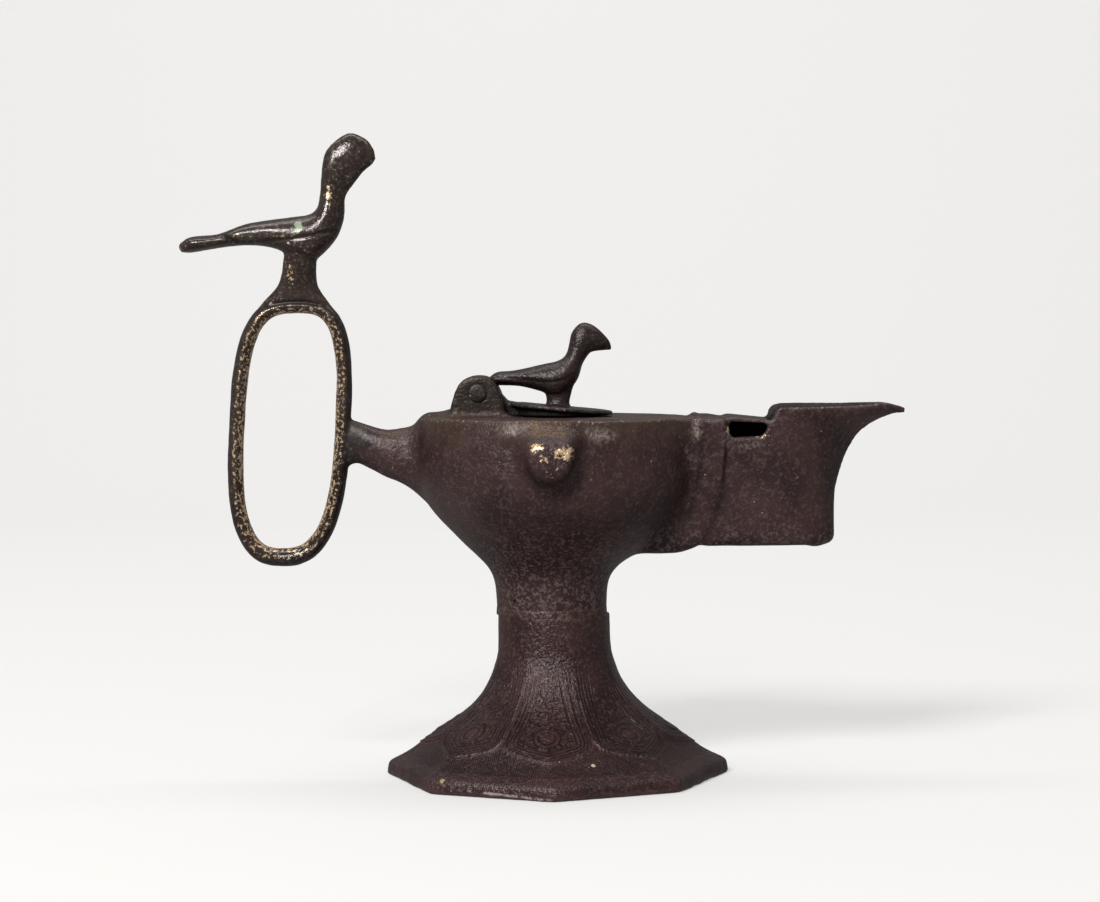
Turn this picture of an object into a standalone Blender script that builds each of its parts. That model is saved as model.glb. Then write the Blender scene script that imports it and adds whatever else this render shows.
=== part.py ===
# Bronze oil lamp: a bowl with a trough spout, a looped handle with a bird, a hinged lid with a
# smaller bird, and a splayed octagonal foot. Metres, +Z up, spout towards +X.
# The origin is the middle of the lamp's length and depth, on the surface it stands on.
import math

import bmesh
import bpy
from mathutils import Vector

MM = 0.001

# Clearances
SEAT_GAP = 0.3 * MM          # between pieces that rest on or sit in each other
PIN_CLEARANCE = 0.1 * MM     # radial play of the hinge pin
SIDE_PLAY = 0.3 * MM         # between the knuckle and each lug, and under the pin's heads

# Foot
FOOT_X = 2.2 * MM            # middle of the base
FOOT_HEIGHT = 38.5 * MM      # up to the soldered joint with the bowl's neck
FOOT_RADIUS = 41.4 * MM      # to the corners of the octagon
FOOT_EDGE = 2.4 * MM         # upright edge round the base
FOOT_CHAMFER = 0.6 * MM
FOOT_WALL = 2.6 * MM
STEM_X = 1.7 * MM            # the stem leans towards the neck, as cast
STEM_RADIUS = 13.0 * MM      # to the flats of the stem
STEM_BORE = 8.2 * MM         # radius of the hollow stem
PETAL_RELIEF = 0.5 * MM
PETAL_TIP = 7.6 * MM         # height of the petals' tips above the ground
PETAL_SHOULDER = 12.3 * MM   # height where neighbouring petals part
BASE_TURN = math.radians(-1.5)
STEM_TURN = math.radians(-5.0)
TENON_LENGTH = 4.0 * MM      # spigot of the stem that enters the neck
TENON_RADIUS = 10.6 * MM

# Bowl
BOWL_X = 3.0 * MM
NECK_X = 1.2 * MM            # the neck stands off the bowl's axis, as cast
BOWL_HEIGHT = 47.4 * MM      # from the joint to the rim
BOWL_RADIUS = 33.6 * MM      # along the lamp
BOWL_DEPTH = 31.8 * MM       # half its width across the lamp
BOWL_WALL = 2.4 * MM
BOWL_FLOOR = 3.4 * MM        # between the socket and the oil
FLOOR_ROUNDING = 2.0 * MM
NECK_RADIUS = 13.2 * MM
TOP_PLATE = 2.2 * MM
RIM_FALL = 0.008             # the rim falls this much per unit length towards the spout
RIM_BACK_FALL = 0.012        # and this much towards the far side
RIM_CHAMFER = 0.5 * MM
OPENING_X = 4.0 * MM         # filling hole under the lid
OPENING_RADIUS = 9.6 * MM

# Spout
SPOUT_REACH = 86.85 * MM     # x of the tip
SPOUT_HEEL = 69.4 * MM       # x of the upright part of the prow
SPOUT_DEPTH = 31.3 * MM      # from the rim to the underside
SPOUT_RISE = 1.7 * MM        # its raised walls stand this much above the rim
SPOUT_HALF_TOP = 11.2 * MM
SPOUT_HALF_BOTTOM = 7.6 * MM
SPOUT_WALL = 2.0 * MM
SPOUT_FLOOR = 2.6 * MM
SPOUT_SAG = 1.1 * MM         # its underside drops this much towards the bowl
SPOUT_ROUNDING = 2.2 * MM    # lower edges
SPOUT_START = 21.0 * MM      # x of its root, inside the bowl's wall
SPOUT_TAPER_START = 55.0 * MM
WALLS_START = 54.4 * MM      # x where the raised walls begin
WALLS_ROUNDING = 2.6 * MM    # of their upper corners
WALLS_LIFT = 0.6 * MM        # they rise this much towards the tip
CHANNEL_ROUNDING = 1.2 * MM  # lower edges inside the spout
COLLAR_X = 39.2 * MM
COLLAR_SWEEP = 9.0 * MM      # how far its foot curves back under the bowl
COLLAR_WIDTH = 6.6 * MM
COLLAR_HEIGHT = 1.1 * MM
COLLAR_DROP = 0.4 * MM       # its top below the rim's plane
BRIDGE_START = 44.2 * MM     # x of the bridge's crest, behind the collar
BRIDGE_THICKNESS = 1.2 * MM
BRIDGE_LIFT = 0.25 * MM      # its crest above the rim's plane
BRIDGE_DROP = 0.8 * MM       # its lower end, at the raised walls, below that plane
WINDOW_START = 43.6 * MM
WINDOW_LENGTH = 9.4 * MM
WINDOW_HEIGHT = 3.4 * MM
PASSAGE_START = 16.0 * MM    # x where the channel opens from the bowl

# Bosses on the two sides of the bowl
BOSS_X = 1.2 * MM
BOSS_REACH = 6.8 * MM        # beyond the bowl's side
BOSS_WIDTH = 10.2 * MM
BOSS_HEIGHT = 9.6 * MM
BOSS_DROP = 9.6 * MM         # middle of its end below the rim

# Hinge
PIN_X = -15.9 * MM
PIN_ABOVE_RIM = 5.9 * MM
PIN_RADIUS = 1.5 * MM
PIN_HEAD_RADIUS = 2.1 * MM
PIN_HEAD = 0.6 * MM
LUG_RISE = 3.9 * MM          # top of the lugs above the pin
LUG_BASE = 7.4 * MM          # half their length at the rim
LUG_THICKNESS = 3.0 * MM
KNUCKLE_WIDTH = 9.6 * MM
KNUCKLE_RADIUS = 3.5 * MM

# Lid
LID_X = 3.3 * MM
LID_RADIUS = 12.4 * MM
LID_THICKNESS = 0.9 * MM
LID_ROUNDING = 0.35 * MM
LID_LIFT = 2.3 * MM          # its plate stands this much higher at the hinge
LID_SKEW = 0.05 * MM         # and is askew by this much at its near side
LID_DRUM_RADIUS = 8.8 * MM   # short drum under the plate, over the filling hole

# Handle
LOOP_X = -61.3 * MM
LOOP_Z = 83.2 * MM
LOOP_HALF_HEIGHT = 30.2 * MM # to the middle of the bar
LOOP_HALF_WIDTH = 12.75 * MM
LOOP_LEAN = 0.065            # leans towards the spout
LOOP_SQUARENESS = 3.2        # of its upper half
LOOP_ROUNDNESS = 2.7         # the same for its lower half
LOOP_BAR = 3.6 * MM
LOOP_BAR_BELOW = 4.2 * MM    # at its lowest place
LOOP_BAR_DEPTH = 5.4 * MM
ROOT_X = -48.3 * MM          # the arm between the loop and the lugs starts inside the loop's bar
ROOT_LENGTH = 27.0 * MM

# Birds
HANDLE_BIRD_LENGTH = 47.2 * MM
HANDLE_BIRD_X = -86.85 * MM  # end of the tail
HANDLE_BIRD_Z = 154.4 * MM   # top of the head
LID_BIRD_LENGTH = 29.4 * MM
LID_BIRD_X = -13.2 * MM
LID_BIRD_RISE = 22.3 * MM    # top of the head above the rim's plane

# Fineness of the faceted surfaces
BOWL_SIDES = 40
LOOP_SIDES = 38
BAR_SIDES = 8
BODY_SIDES = 12

NECK_Z = FOOT_HEIGHT + SEAT_GAP
RIM_Z = NECK_Z + BOWL_HEIGHT
SPOUT_Z = RIM_Z - SPOUT_DEPTH
WALLS_Z = RIM_Z + SPOUT_RISE


def rim_height(x, y=0.0):
    return RIM_Z - RIM_FALL * (x - BOWL_X) - RIM_BACK_FALL * y


PIN_Z = rim_height(PIN_X) + PIN_ABOVE_RIM


def smooth(t):
    t = max(0.0, min(1.0, t))
    return t * t * (3 - 2 * t)


def mix(a, b, t):
    return a + (b - a) * t


def power(value, exponent):
    return math.copysign(abs(value) ** exponent, value)


def curve_at(points, place):
    """Reads a smooth curve through (place, value) pairs with rising places."""
    last = len(points) - 1
    i = 0
    while i < last - 1 and place > points[i + 1][0]:
        i += 1
    (p1, v1), (p2, v2) = points[i], points[i + 1]
    p0, v0 = points[max(i - 1, 0)]
    p3, v3 = points[min(i + 2, last)]
    t = max(0.0, min(1.0, (place - p1) / (p2 - p1)))
    out = (v2 - v0) / (p2 - p0) * (p2 - p1)
    into = (v3 - v1) / (p3 - p1) * (p2 - p1)
    a = 2 * t ** 3 - 3 * t ** 2 + 1
    b = t ** 3 - 2 * t ** 2 + t
    c = t ** 3 - t ** 2
    return a * v1 + b * out + (1 - a) * v2 + c * into


def finish(bm, name):
    bmesh.ops.recalc_face_normals(bm, faces=bm.faces)
    mesh = bpy.data.meshes.new(name)
    bm.to_mesh(mesh)
    bm.free()
    obj = bpy.data.objects.new(name, mesh)
    bpy.context.scene.collection.objects.link(obj)
    return obj


def skin(name, rings, closed=False, bent_ends=False):
    """A closed body through rings of points, capped at its ends unless it closes on itself."""
    bm = bmesh.new()
    rows = [[bm.verts.new(point) for point in ring] for ring in rings]
    pairs = list(zip(rows, rows[1:]))
    if closed:
        pairs.append((rows[-1], rows[0]))
    for lower, upper in pairs:
        for i in range(len(lower)):
            j = (i + 1) % len(lower)
            bm.faces.new((lower[i], lower[j], upper[j], upper[i]))
    if not closed:
        ends = [bm.faces.new(row) for row in (rows[0], rows[-1])]
        if bent_ends:
            bmesh.ops.triangulate(bm, faces=ends)
    return finish(bm, name)


def prism(name, outline, y_low, y_high):
    """A flat outline of (x, z) points, carried across the lamp."""
    return skin(name, [[(x, y, z) for x, z in outline] for y in (y_low, y_high)])


def turned(name, x, z, profile, sides=20):
    """Turned about a line across the lamp: pairs of y and radius."""
    rings = []
    for y, radius in profile:
        ring = []
        for i in range(sides):
            a = math.tau * (i + 0.5) / sides
            ring.append((x + radius * math.cos(a), y, z + radius * math.sin(a)))
        rings.append(ring)
    return skin(name, rings)


def body_of(name, sections, sides=BODY_SIDES, steps=2):
    """A rounded body spanned between pairs of outline points (x, z) and (x, z), with half widths."""
    rings = []
    last = len(sections) - 1
    for k in range(last * steps + 1):
        place = k / steps
        values = []
        for column in range(5):
            values.append(curve_at([(i, s[column]) for i, s in enumerate(sections)], place))
        x0, z0, x1, z1, width = values
        ring = []
        for i in range(sides):
            a = math.tau * i / sides
            up = (1 + math.cos(a)) / 2
            ring.append((mix(x1, x0, up), width * math.sin(a), mix(z1, z0, up)))
        rings.append(ring)
    return skin(name, rings)


def combine(target, other, operation):
    """Joins other to target, or cuts it from target, and removes it."""
    change = target.modifiers.new(operation.lower(), "BOOLEAN")
    change.operation = operation
    change.solver = "EXACT"
    change.object = other
    bpy.context.view_layer.update()
    depsgraph = bpy.context.evaluated_depsgraph_get()
    result = bpy.data.meshes.new_from_object(target.evaluated_get(depsgraph))
    target.modifiers.clear()
    target.data = result
    bpy.data.objects.remove(other)


def complete(obj, material):
    """Closes up what the cuts left doubled, and gives the piece its finish."""
    bm = bmesh.new()
    bm.from_mesh(obj.data)
    bmesh.ops.remove_doubles(bm, verts=bm.verts, dist=0.02 * MM)
    bmesh.ops.dissolve_degenerate(bm, edges=bm.edges, dist=0.01 * MM)
    bmesh.ops.triangulate(bm, faces=[f for f in bm.faces if len(f.verts) > 4])
    bm.to_mesh(obj.data)
    bm.free()
    obj.data.materials.clear()
    obj.data.materials.append(material)
    obj.data.shade_smooth()
    obj.data.set_sharp_from_angle(angle=math.radians(38))
    return obj


def bronze(name, colour, roughness):
    material = bpy.data.materials.new(name)
    material.use_nodes = True
    shader = material.node_tree.nodes["Principled BSDF"]
    shader.inputs["Base Color"].default_value = (*colour, 1.0)
    shader.inputs["Roughness"].default_value = roughness
    shader.inputs["Metallic"].default_value = 0.6
    return material


for old in list(bpy.data.objects):
    bpy.data.objects.remove(old)


# Foot
SECTOR = math.radians(45)
# how far the flare has spread, at shares of the height above the upright edge
FLARE = ((0.0, 1.0), (0.03, 0.975), (0.083, 0.848), (0.136, 0.741), (0.241, 0.553), (0.349, 0.339),
         (0.454, 0.19), (0.562, 0.096), (0.668, 0.04), (0.776, 0.006), (1.0, 0.0))


def petal_half_angle(z):
    """How far a petal reaches each side of its middle, as an angle about the stem."""
    t = (z - PETAL_TIP) / (PETAL_SHOULDER - PETAL_TIP)
    t = max(0.03, min(1.0, t))
    return SECTOR / 2 * math.sqrt(t * (2 - t))


def foot_point(middle, share, z, reach, relief):
    """share runs from the petal's middle, 0, over its border, 0.6 to 0.75, to the valley, 1."""
    border = petal_half_angle(z)
    fade = 1 - smooth((z - PETAL_SHOULDER) / (FOOT_HEIGHT * 0.4))
    if z < PETAL_TIP:
        fade = 0.0
    size = abs(share)
    inner = border * 0.93
    outer = min(border, SECTOR / 2 * 0.985)
    if size <= 0.6:
        offset = inner * size / 0.6
    elif size <= 0.75:
        offset = mix(inner, outer, (size - 0.6) / 0.15)
    else:
        offset = mix(outer, SECTOR / 2, (size - 0.75) / 0.25)
    rise = relief * fade if size <= 0.6 else 0.0
    spread = smooth((z - FOOT_EDGE) / (FOOT_HEIGHT * 0.62))
    round_off = mix(math.cos(SECTOR / 2) / math.cos(SECTOR / 2 - offset), 1 / math.cos(offset), spread)
    radius = reach * round_off - relief * fade + rise
    turn = mix(BASE_TURN, STEM_TURN, smooth((z - FOOT_EDGE) / (PETAL_SHOULDER - FOOT_EDGE)))
    a = middle + math.copysign(offset, share) + turn
    x = mix(FOOT_X, STEM_X, smooth(z / FOOT_HEIGHT))
    return (x + radius * math.cos(a), radius * math.sin(a), z)


def foot_ring(z, reach, relief):
    shares = (-1, -0.75, -0.6, -0.3, 0, 0.3, 0.6, 0.75)
    return [foot_point(SECTOR * k, s, z, reach, relief) for k in range(8) for s in shares]


def foot_reach(z):
    share = (z - FOOT_EDGE) / (FOOT_HEIGHT - FOOT_EDGE)
    return STEM_RADIUS + (FOOT_RADIUS - STEM_RADIUS) * curve_at(FLARE, share)


def make_foot():
    rings = [foot_ring(0, FOOT_RADIUS - FOOT_CHAMFER, 0)]
    rings.append(foot_ring(FOOT_CHAMFER, FOOT_RADIUS, 0))
    rings.append(foot_ring(FOOT_EDGE, FOOT_RADIUS, 0))
    heights = [mix(FOOT_EDGE, PETAL_TIP, 0.3), 0.987 * PETAL_TIP]
    heights += [mix(PETAL_TIP, PETAL_SHOULDER, t) for t in (0.06, 0.2, 0.45, 0.75, 1.0)]
    heights += [mix(PETAL_SHOULDER, FOOT_HEIGHT, t) for t in (0.15, 0.32, 0.52, 1.0)]
    for z in heights:
        rings.append(foot_ring(z, foot_reach(z), PETAL_RELIEF))
    # the spigot above the joint, then down through the hollow stem
    for z, radius in ((FOOT_HEIGHT, TENON_RADIUS), (FOOT_HEIGHT + TENON_LENGTH, TENON_RADIUS),
                      (FOOT_HEIGHT + TENON_LENGTH, STEM_BORE), (FOOT_HEIGHT * 0.8, STEM_BORE)):
        count = len(rings[0])
        ring = []
        for i in range(count):
            a = math.tau * i / count - SECTOR / 2 + STEM_TURN
            x = NECK_X if z >= FOOT_HEIGHT else STEM_X
            ring.append((x + radius * math.cos(a), radius * math.sin(a), z))
        rings.append(ring)
    hollow = max(STEM_BORE, STEM_RADIUS - 2 * FOOT_WALL)
    for share in (0.5, 0.26, 0.1):
        z = FOOT_HEIGHT * share
        reach = max(hollow, foot_reach(z + FOOT_WALL * 0.9) - FOOT_WALL * 0.7)
        rings.append(foot_ring(z, reach, 0))
    rings.append(foot_ring(0, FOOT_RADIUS - 1.9 * FOOT_WALL, 0))
    return complete(skin("foot", rings, closed=True), bronze("bronze_foot", (0.036, 0.022, 0.020), 0.45))


# Bowl
# how far the wall has spread from the neck, at shares of the height
FLANK = ((0.0, 0.0), (0.15, 0.02), (0.21, 0.07), (0.27, 0.19), (0.37, 0.47), (0.48, 0.735),
         (0.58, 0.915), (0.70, 1.0), (0.85, 0.99), (1.0, 0.93))


def bowl_ring(z, inset, trim=0.0):
    share = (z - NECK_Z) / BOWL_HEIGHT
    spread = curve_at(FLANK, share)
    radius = NECK_RADIUS + (BOWL_RADIUS - NECK_RADIUS) * spread - inset - trim
    across = mix(1.0, BOWL_DEPTH / BOWL_RADIUS, spread)
    middle = mix(NECK_X, BOWL_X, smooth((share - 0.15) / 0.3))
    ring = []
    for i in range(BOWL_SIDES):
        a = math.tau * i / BOWL_SIDES
        x = middle + radius * math.cos(a)
        y = radius * across * math.sin(a)
        ring.append((x, y, z + (rim_height(x, y) - RIM_Z) * smooth((share - 0.3) / 0.7)))
    return ring


def make_vessel():
    rings = []
    for share in (0, 0.12, 0.2, 0.26, 0.32, 0.38, 0.44, 0.5, 0.57, 0.65, 0.75, 0.88):
        rings.append(bowl_ring(NECK_Z + BOWL_HEIGHT * share, 0))
    rings.append(bowl_ring(RIM_Z - RIM_CHAMFER, 0))
    rings.append(bowl_ring(RIM_Z, 0, RIM_CHAMFER))
    return skin("lamp_bowl", rings)


def make_cavity():
    bottom = NECK_Z + TENON_LENGTH + SEAT_GAP + BOWL_FLOOR
    rings = [bowl_ring(bottom, BOWL_WALL + FLOOR_ROUNDING)]
    for t in (0.06, 0.2, 0.35, 0.5, 0.7, 0.9, 1.0):
        rings.append(bowl_ring(mix(bottom, RIM_Z - TOP_PLATE, t), BOWL_WALL))
    return skin("cavity", rings)


def make_mouth():
    rings = []
    for z in (RIM_Z - 3 * TOP_PLATE, RIM_Z + TOP_PLATE):
        ring = []
        for i in range(32):
            a = math.tau * i / 32
            ring.append((OPENING_X + OPENING_RADIUS * math.cos(a), OPENING_RADIUS * math.sin(a), z))
        rings.append(ring)
    return skin("mouth", rings)


def make_socket():
    depth = TENON_LENGTH + SEAT_GAP
    rings = []
    for z in (NECK_Z - 3 * SEAT_GAP, NECK_Z + depth):
        ring = []
        for i in range(32):
            a = math.tau * i / 32
            radius = TENON_RADIUS + SEAT_GAP
            ring.append((NECK_X + radius * math.cos(a), radius * math.sin(a), z))
        rings.append(ring)
    return skin("socket", rings)


# Spout
# how far the prow has run out from the heel to the tip, at shares of the spout's height
PROW = ((0.0, 0.0), (0.25, 0.0), (0.39, 0.014), (0.476, 0.056), (0.592, 0.127), (0.70, 0.224),
        (0.80, 0.363), (0.867, 0.543), (0.909, 0.75), (0.936, 0.887), (0.963, 0.985), (1.0, 1.0))


def bridge_top(x):
    t = (x - BRIDGE_START) / (WALLS_START - BRIDGE_START)
    return rim_height(x) + mix(BRIDGE_LIFT, -BRIDGE_DROP, t)


def spout_ring(z, start, grow, rounding=0.0):
    """One level of the trough, boat shaped; grow widens it on every side."""
    share = max(0.0, (z - SPOUT_Z) / (WALLS_Z - SPOUT_Z))
    half = mix(SPOUT_HALF_BOTTOM, SPOUT_HALF_TOP, min(share, 1.0) ** 0.8) + grow - rounding
    prow = mix(SPOUT_HEEL, SPOUT_REACH, curve_at(PROW, min(share, 1.0))) - rounding
    prow += grow * mix(1.0, 1.8, min(share, 1.0))
    blunt = mix(0.5, 0.95, smooth(share * 1.2))
    side = [(start, half), (mix(start, SPOUT_TAPER_START, 0.5), half)]
    for k in range(8):
        t = math.sin(math.pi / 2 * k / 7)
        side.append((mix(SPOUT_TAPER_START, prow, t), half * (1 - t ** 2.2) ** blunt))
    both = [(x, -y) for x, y in side[:-1]] + [(side[-1][0], 0.0)] + list(reversed(side[:-1]))
    sag = SPOUT_SAG * (1 - min(share, 1.0))
    lift = WALLS_LIFT * min(share, 1.0) ** 2
    return [(x, y, z - sag * smooth((COLLAR_X - x) / (COLLAR_X - SPOUT_START))
             + lift * smooth((x - SPOUT_HEEL) / (SPOUT_REACH - SPOUT_HEEL))) for x, y in both]


def make_trough():
    start = SPOUT_START
    rings = [spout_ring(SPOUT_Z, start, 0, SPOUT_ROUNDING)]
    rings.append(spout_ring(SPOUT_Z + 0.3 * SPOUT_ROUNDING, start, 0, 0.3 * SPOUT_ROUNDING))
    rings.append(spout_ring(SPOUT_Z + SPOUT_ROUNDING, start, 0))
    for t in (0.25, 0.42, 0.56, 0.68, 0.78, 0.85, 0.905, 0.945, 0.975, 1.0):
        rings.append(spout_ring(mix(SPOUT_Z + SPOUT_ROUNDING, WALLS_Z, t), start, 0))
    trough = skin("trough", rings, bent_ends=True)
    edge = mix(COLLAR_X + COLLAR_WIDTH / 2, BRIDGE_START, 0.1)
    above = [(0, rim_height(0) - COLLAR_DROP), (edge, rim_height(edge) - COLLAR_DROP)]
    above += [(BRIDGE_START, bridge_top(BRIDGE_START)), (WALLS_START, bridge_top(WALLS_START))]
    for k in range(5):
        a = math.pi / 2 * k / 4
        above.append((WALLS_START + WALLS_ROUNDING * (1 - math.cos(a)),
                      WALLS_Z - WALLS_ROUNDING * 0.8 * (1 - math.sin(a))))
    over = WALLS_Z + SPOUT_RISE
    above += [(WALLS_START + WALLS_ROUNDING, over), (0, over)]
    combine(trough, prism("above", above, -2 * SPOUT_HALF_TOP, 2 * SPOUT_HALF_TOP), "DIFFERENCE")
    return trough


def make_collar():
    rings = []
    for t in (-0.035, 0.06, 0.25, 0.5, 0.75, 1.0):
        z = mix(SPOUT_Z, rim_height(COLLAR_X), t)
        rings.append(spout_ring(z, BOWL_X, COLLAR_HEIGHT, COLLAR_HEIGHT if t < 0 else 0))
    collar = skin("collar", rings, bent_ends=True)
    left, right = [], []
    for k in range(9):
        t = k / 8
        z = mix(rim_height(COLLAR_X) - COLLAR_DROP, SPOUT_Z - COLLAR_HEIGHT, t)
        x = COLLAR_X - COLLAR_SWEEP * t ** 3
        half = COLLAR_WIDTH / 2 * (1 + 0.4 * t ** 3)
        left.append((x - half, z))
        right.append((x + half, z))
    combine(collar, prism("band", left + right[::-1], -3 * SPOUT_HALF_TOP, 3 * SPOUT_HALF_TOP), "INTERSECT")
    return collar


def make_channel():
    floor = SPOUT_Z + SPOUT_FLOOR
    rings = [spout_ring(floor, PASSAGE_START, -SPOUT_WALL, CHANNEL_ROUNDING)]
    for t in (0.06, 0.3, 0.55, 0.75, 0.87, 0.93, 0.965, 1.0):
        rings.append(spout_ring(mix(floor, WALLS_Z, t), PASSAGE_START, -SPOUT_WALL))
    rings.append([(x, y, z + 2 * SPOUT_RISE) for x, y, z in rings[-1]])
    channel = skin("channel", rings, bent_ends=True)
    start, end = PASSAGE_START - SPOUT_START, 0.993 * WALLS_START
    edge = COLLAR_X + COLLAR_WIDTH / 2
    roof = [(start, RIM_Z - TOP_PLATE), (edge, RIM_Z - TOP_PLATE),
            (BRIDGE_START, bridge_top(BRIDGE_START) - BRIDGE_THICKNESS),
            (end, bridge_top(end) - BRIDGE_THICKNESS * 0.7),
            (end, WALLS_Z + 4 * SPOUT_RISE), (start, WALLS_Z + 4 * SPOUT_RISE)]
    combine(channel, prism("roof", roof, -3 * SPOUT_HALF_TOP, 3 * SPOUT_HALF_TOP), "DIFFERENCE")
    return channel


def make_window():
    start, end = WINDOW_START, WINDOW_START + WINDOW_LENGTH
    top = bridge_top(BRIDGE_START) - 0.9 * BRIDGE_THICKNESS
    right = bridge_top(end) - 0.6 * BRIDGE_THICKNESS
    bottom = top - WINDOW_HEIGHT
    slant = 0.14 * WINDOW_LENGTH
    outline = [(start, top), (end, right), (end - slant, bottom + 0.1 * WINDOW_HEIGHT),
               (start + 0.5 * slant, bottom)]
    return prism("window", outline, -1.5 * SPOUT_HALF_TOP, -SPOUT_HALF_TOP * 0.4)


# Side bosses
def make_boss(side):
    rings = []
    for t, widen, high, low in ((-0.55, 1.5, 0.875, 0.667), (0.0, 1.35, 0.8125, 0.625),
                                (0.35, 1.12, 0.6875, 0.552), (0.8, 1.02, 0.552, 0.521),
                                (1.0, 0.8, 0.458, 0.4375)):
        y = side * (BOWL_DEPTH + BOSS_REACH * t)
        rim = rim_height(BOSS_X, side * BOWL_DEPTH)
        top = min(rim - RIM_CHAMFER, rim - BOSS_DROP + BOSS_HEIGHT * high)
        bottom = rim - BOSS_DROP - BOSS_HEIGHT * low
        ring = []
        for i in range(16):
            a = math.tau * i / 16
            up = power(math.sin(a), 0.7)
            x = BOSS_X + BOSS_WIDTH / 2 * widen * power(math.cos(a), 0.7) * (1 + 0.3 * up)
            ring.append((x, y, mix(bottom, top, (1 + up) / 2)))
        rings.append(ring)
    return skin("boss", rings)


# Hinge lugs
# share of their half length, at shares of their height above the rim
LUG = ((0.0, 1.0), (0.08, 0.935), (0.19, 0.90), (0.36, 0.83), (0.61, 0.72), (0.80, 0.60), (0.92, 0.44),
       (0.98, 0.24))


def make_lug(side):
    base = rim_height(PIN_X)
    height = PIN_ABOVE_RIM + LUG_RISE
    half = [(LUG_BASE * wide, base + height * high) for high, wide in LUG]
    outline = [(PIN_X + wide, z) for wide, z in half] + [(PIN_X, base + height)]
    outline += [(PIN_X - wide, z) for wide, z in reversed(half)]
    outline += [(PIN_X - LUG_BASE, base - 0.5 * TOP_PLATE), (PIN_X + LUG_BASE, base - 0.5 * TOP_PLATE)]
    inner = KNUCKLE_WIDTH / 2 + SIDE_PLAY
    return prism("lug", outline, side * inner, side * (inner + LUG_THICKNESS))


def make_pin_hole(reach):
    hole = PIN_RADIUS + PIN_CLEARANCE
    return turned("pin_hole", PIN_X, PIN_Z, ((-reach, hole), (reach, hole)))


# Handle
def loop_stations():
    """Places round the loop: middle of the bar, outward direction, half the bar."""
    def middle(a):
        roundness = LOOP_SQUARENESS if math.sin(a) > 0 else LOOP_ROUNDNESS
        rise = LOOP_HALF_HEIGHT * power(math.sin(a), 2 / roundness)
        across = LOOP_HALF_WIDTH * power(math.cos(a), 2 / roundness)
        return Vector((LOOP_X + across + LOOP_LEAN * rise, 0, LOOP_Z + rise))

    stations = []
    for k in range(LOOP_SIDES):
        a = math.tau * (k + 0.5) / LOOP_SIDES
        a += 0.28 * math.sin(2 * a)
        along = (middle(a + 0.02) - middle(a - 0.02)).normalized()
        half = mix(LOOP_BAR, LOOP_BAR_BELOW, max(0.0, -math.sin(a)) ** 4) / 2
        stations.append((middle(a), Vector((along.z, 0, -along.x)), half))
    return stations


def make_loop():
    rings = []
    for here, outward, half in loop_stations():
        ring = []
        for i in range(BAR_SIDES):
            b = math.tau * i / BAR_SIDES
            ring.append(here + outward * half * power(math.cos(b), 0.9)
                        + Vector((0, LOOP_BAR_DEPTH / 2 * power(math.sin(b), 1.15), 0)))
        rings.append(ring)
    return skin("loop", rings, closed=True)


def make_finger_hole():
    outline = []
    for here, outward, half in loop_stations():
        point = here - outward * half * 0.6
        outline.append((point.x, point.z))
    return prism("finger_hole", outline, -2 * LOOP_BAR_DEPTH, 2 * LOOP_BAR_DEPTH)


# upper point, lower point and half width of each section of the arm, from the loop over the rim to the
# lugs, in shares of its length from its start and down from the rim
ROOT = ((0.00, -0.004, 0.00, 0.452, 0.085), (0.096, 0.015, 0.107, 0.396, 0.107),
        (0.230, 0.063, 0.230, 0.448, 0.140), (0.370, 0.100, 0.356, 0.519, 0.163),
        (0.530, 0.083, 0.511, 0.585, 0.178), (0.626, 0.052, 0.641, 0.678, 0.207),
        (0.678, -0.007, 0.719, 0.744, 0.240), (0.744, -0.048, 0.807, 0.600, 0.252),
        (0.870, -0.056, 0.900, 0.304, 0.256), (1.00, -0.090, 1.000, 0.081, 0.262))


def make_root():
    sections = [(ROOT_X + x0 * ROOT_LENGTH, RIM_Z - z0 * ROOT_LENGTH, ROOT_X + x1 * ROOT_LENGTH,
                 RIM_Z - z1 * ROOT_LENGTH, width * ROOT_LENGTH) for x0, z0, x1, z1, width in ROOT]
    return body_of("root", sections, sides=16, steps=1)


def bird_body(name, tail_x, head_z, length, sections, stance):
    """A bird from its outline, in shares of its length back from the head and down from its crown."""
    def placed(rows):
        return [(tail_x + x0 * length, head_z - z0 * length, tail_x + x1 * length, head_z - z1 * length,
                 w * length) for x0, z0, x1, z1, w in rows]

    body = body_of(name, placed(sections))
    combine(body, body_of("leg", placed(stance), sides=12, steps=1), "UNION")
    return body


# upper point, lower point and half width of each section, from the tail to the tip of the beak
HANDLE_BIRD = ((0.00, 0.560, 0.005, 0.585, 0.050), (0.06, 0.517, 0.065, 0.588, 0.092),
               (0.20, 0.502, 0.200, 0.571, 0.098), (0.33, 0.455, 0.330, 0.560, 0.098),
               (0.46, 0.433, 0.460, 0.572, 0.106), (0.57, 0.419, 0.570, 0.615, 0.116),
               (0.66, 0.408, 0.680, 0.640, 0.120), (0.703, 0.37, 0.790, 0.540, 0.105),
               (0.718, 0.29, 0.835, 0.430, 0.078), (0.722, 0.20, 0.850, 0.290, 0.068),
               (0.755, 0.08, 0.880, 0.215, 0.070), (0.86, 0.00, 0.930, 0.170, 0.062),
               (0.95, 0.045, 0.970, 0.150, 0.038), (0.998, 0.105, 1.000, 0.125, 0.012))
HANDLE_STANCE = ((0.545, 0.52, 0.690, 0.52, 0.070), (0.525, 0.62, 0.695, 0.62, 0.066),
                 (0.515, 0.70, 0.690, 0.70, 0.064), (0.488, 0.77, 0.700, 0.77, 0.064),
                 (0.43, 0.83, 0.740, 0.83, 0.058), (0.37, 0.905, 0.790, 0.905, 0.046))
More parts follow.
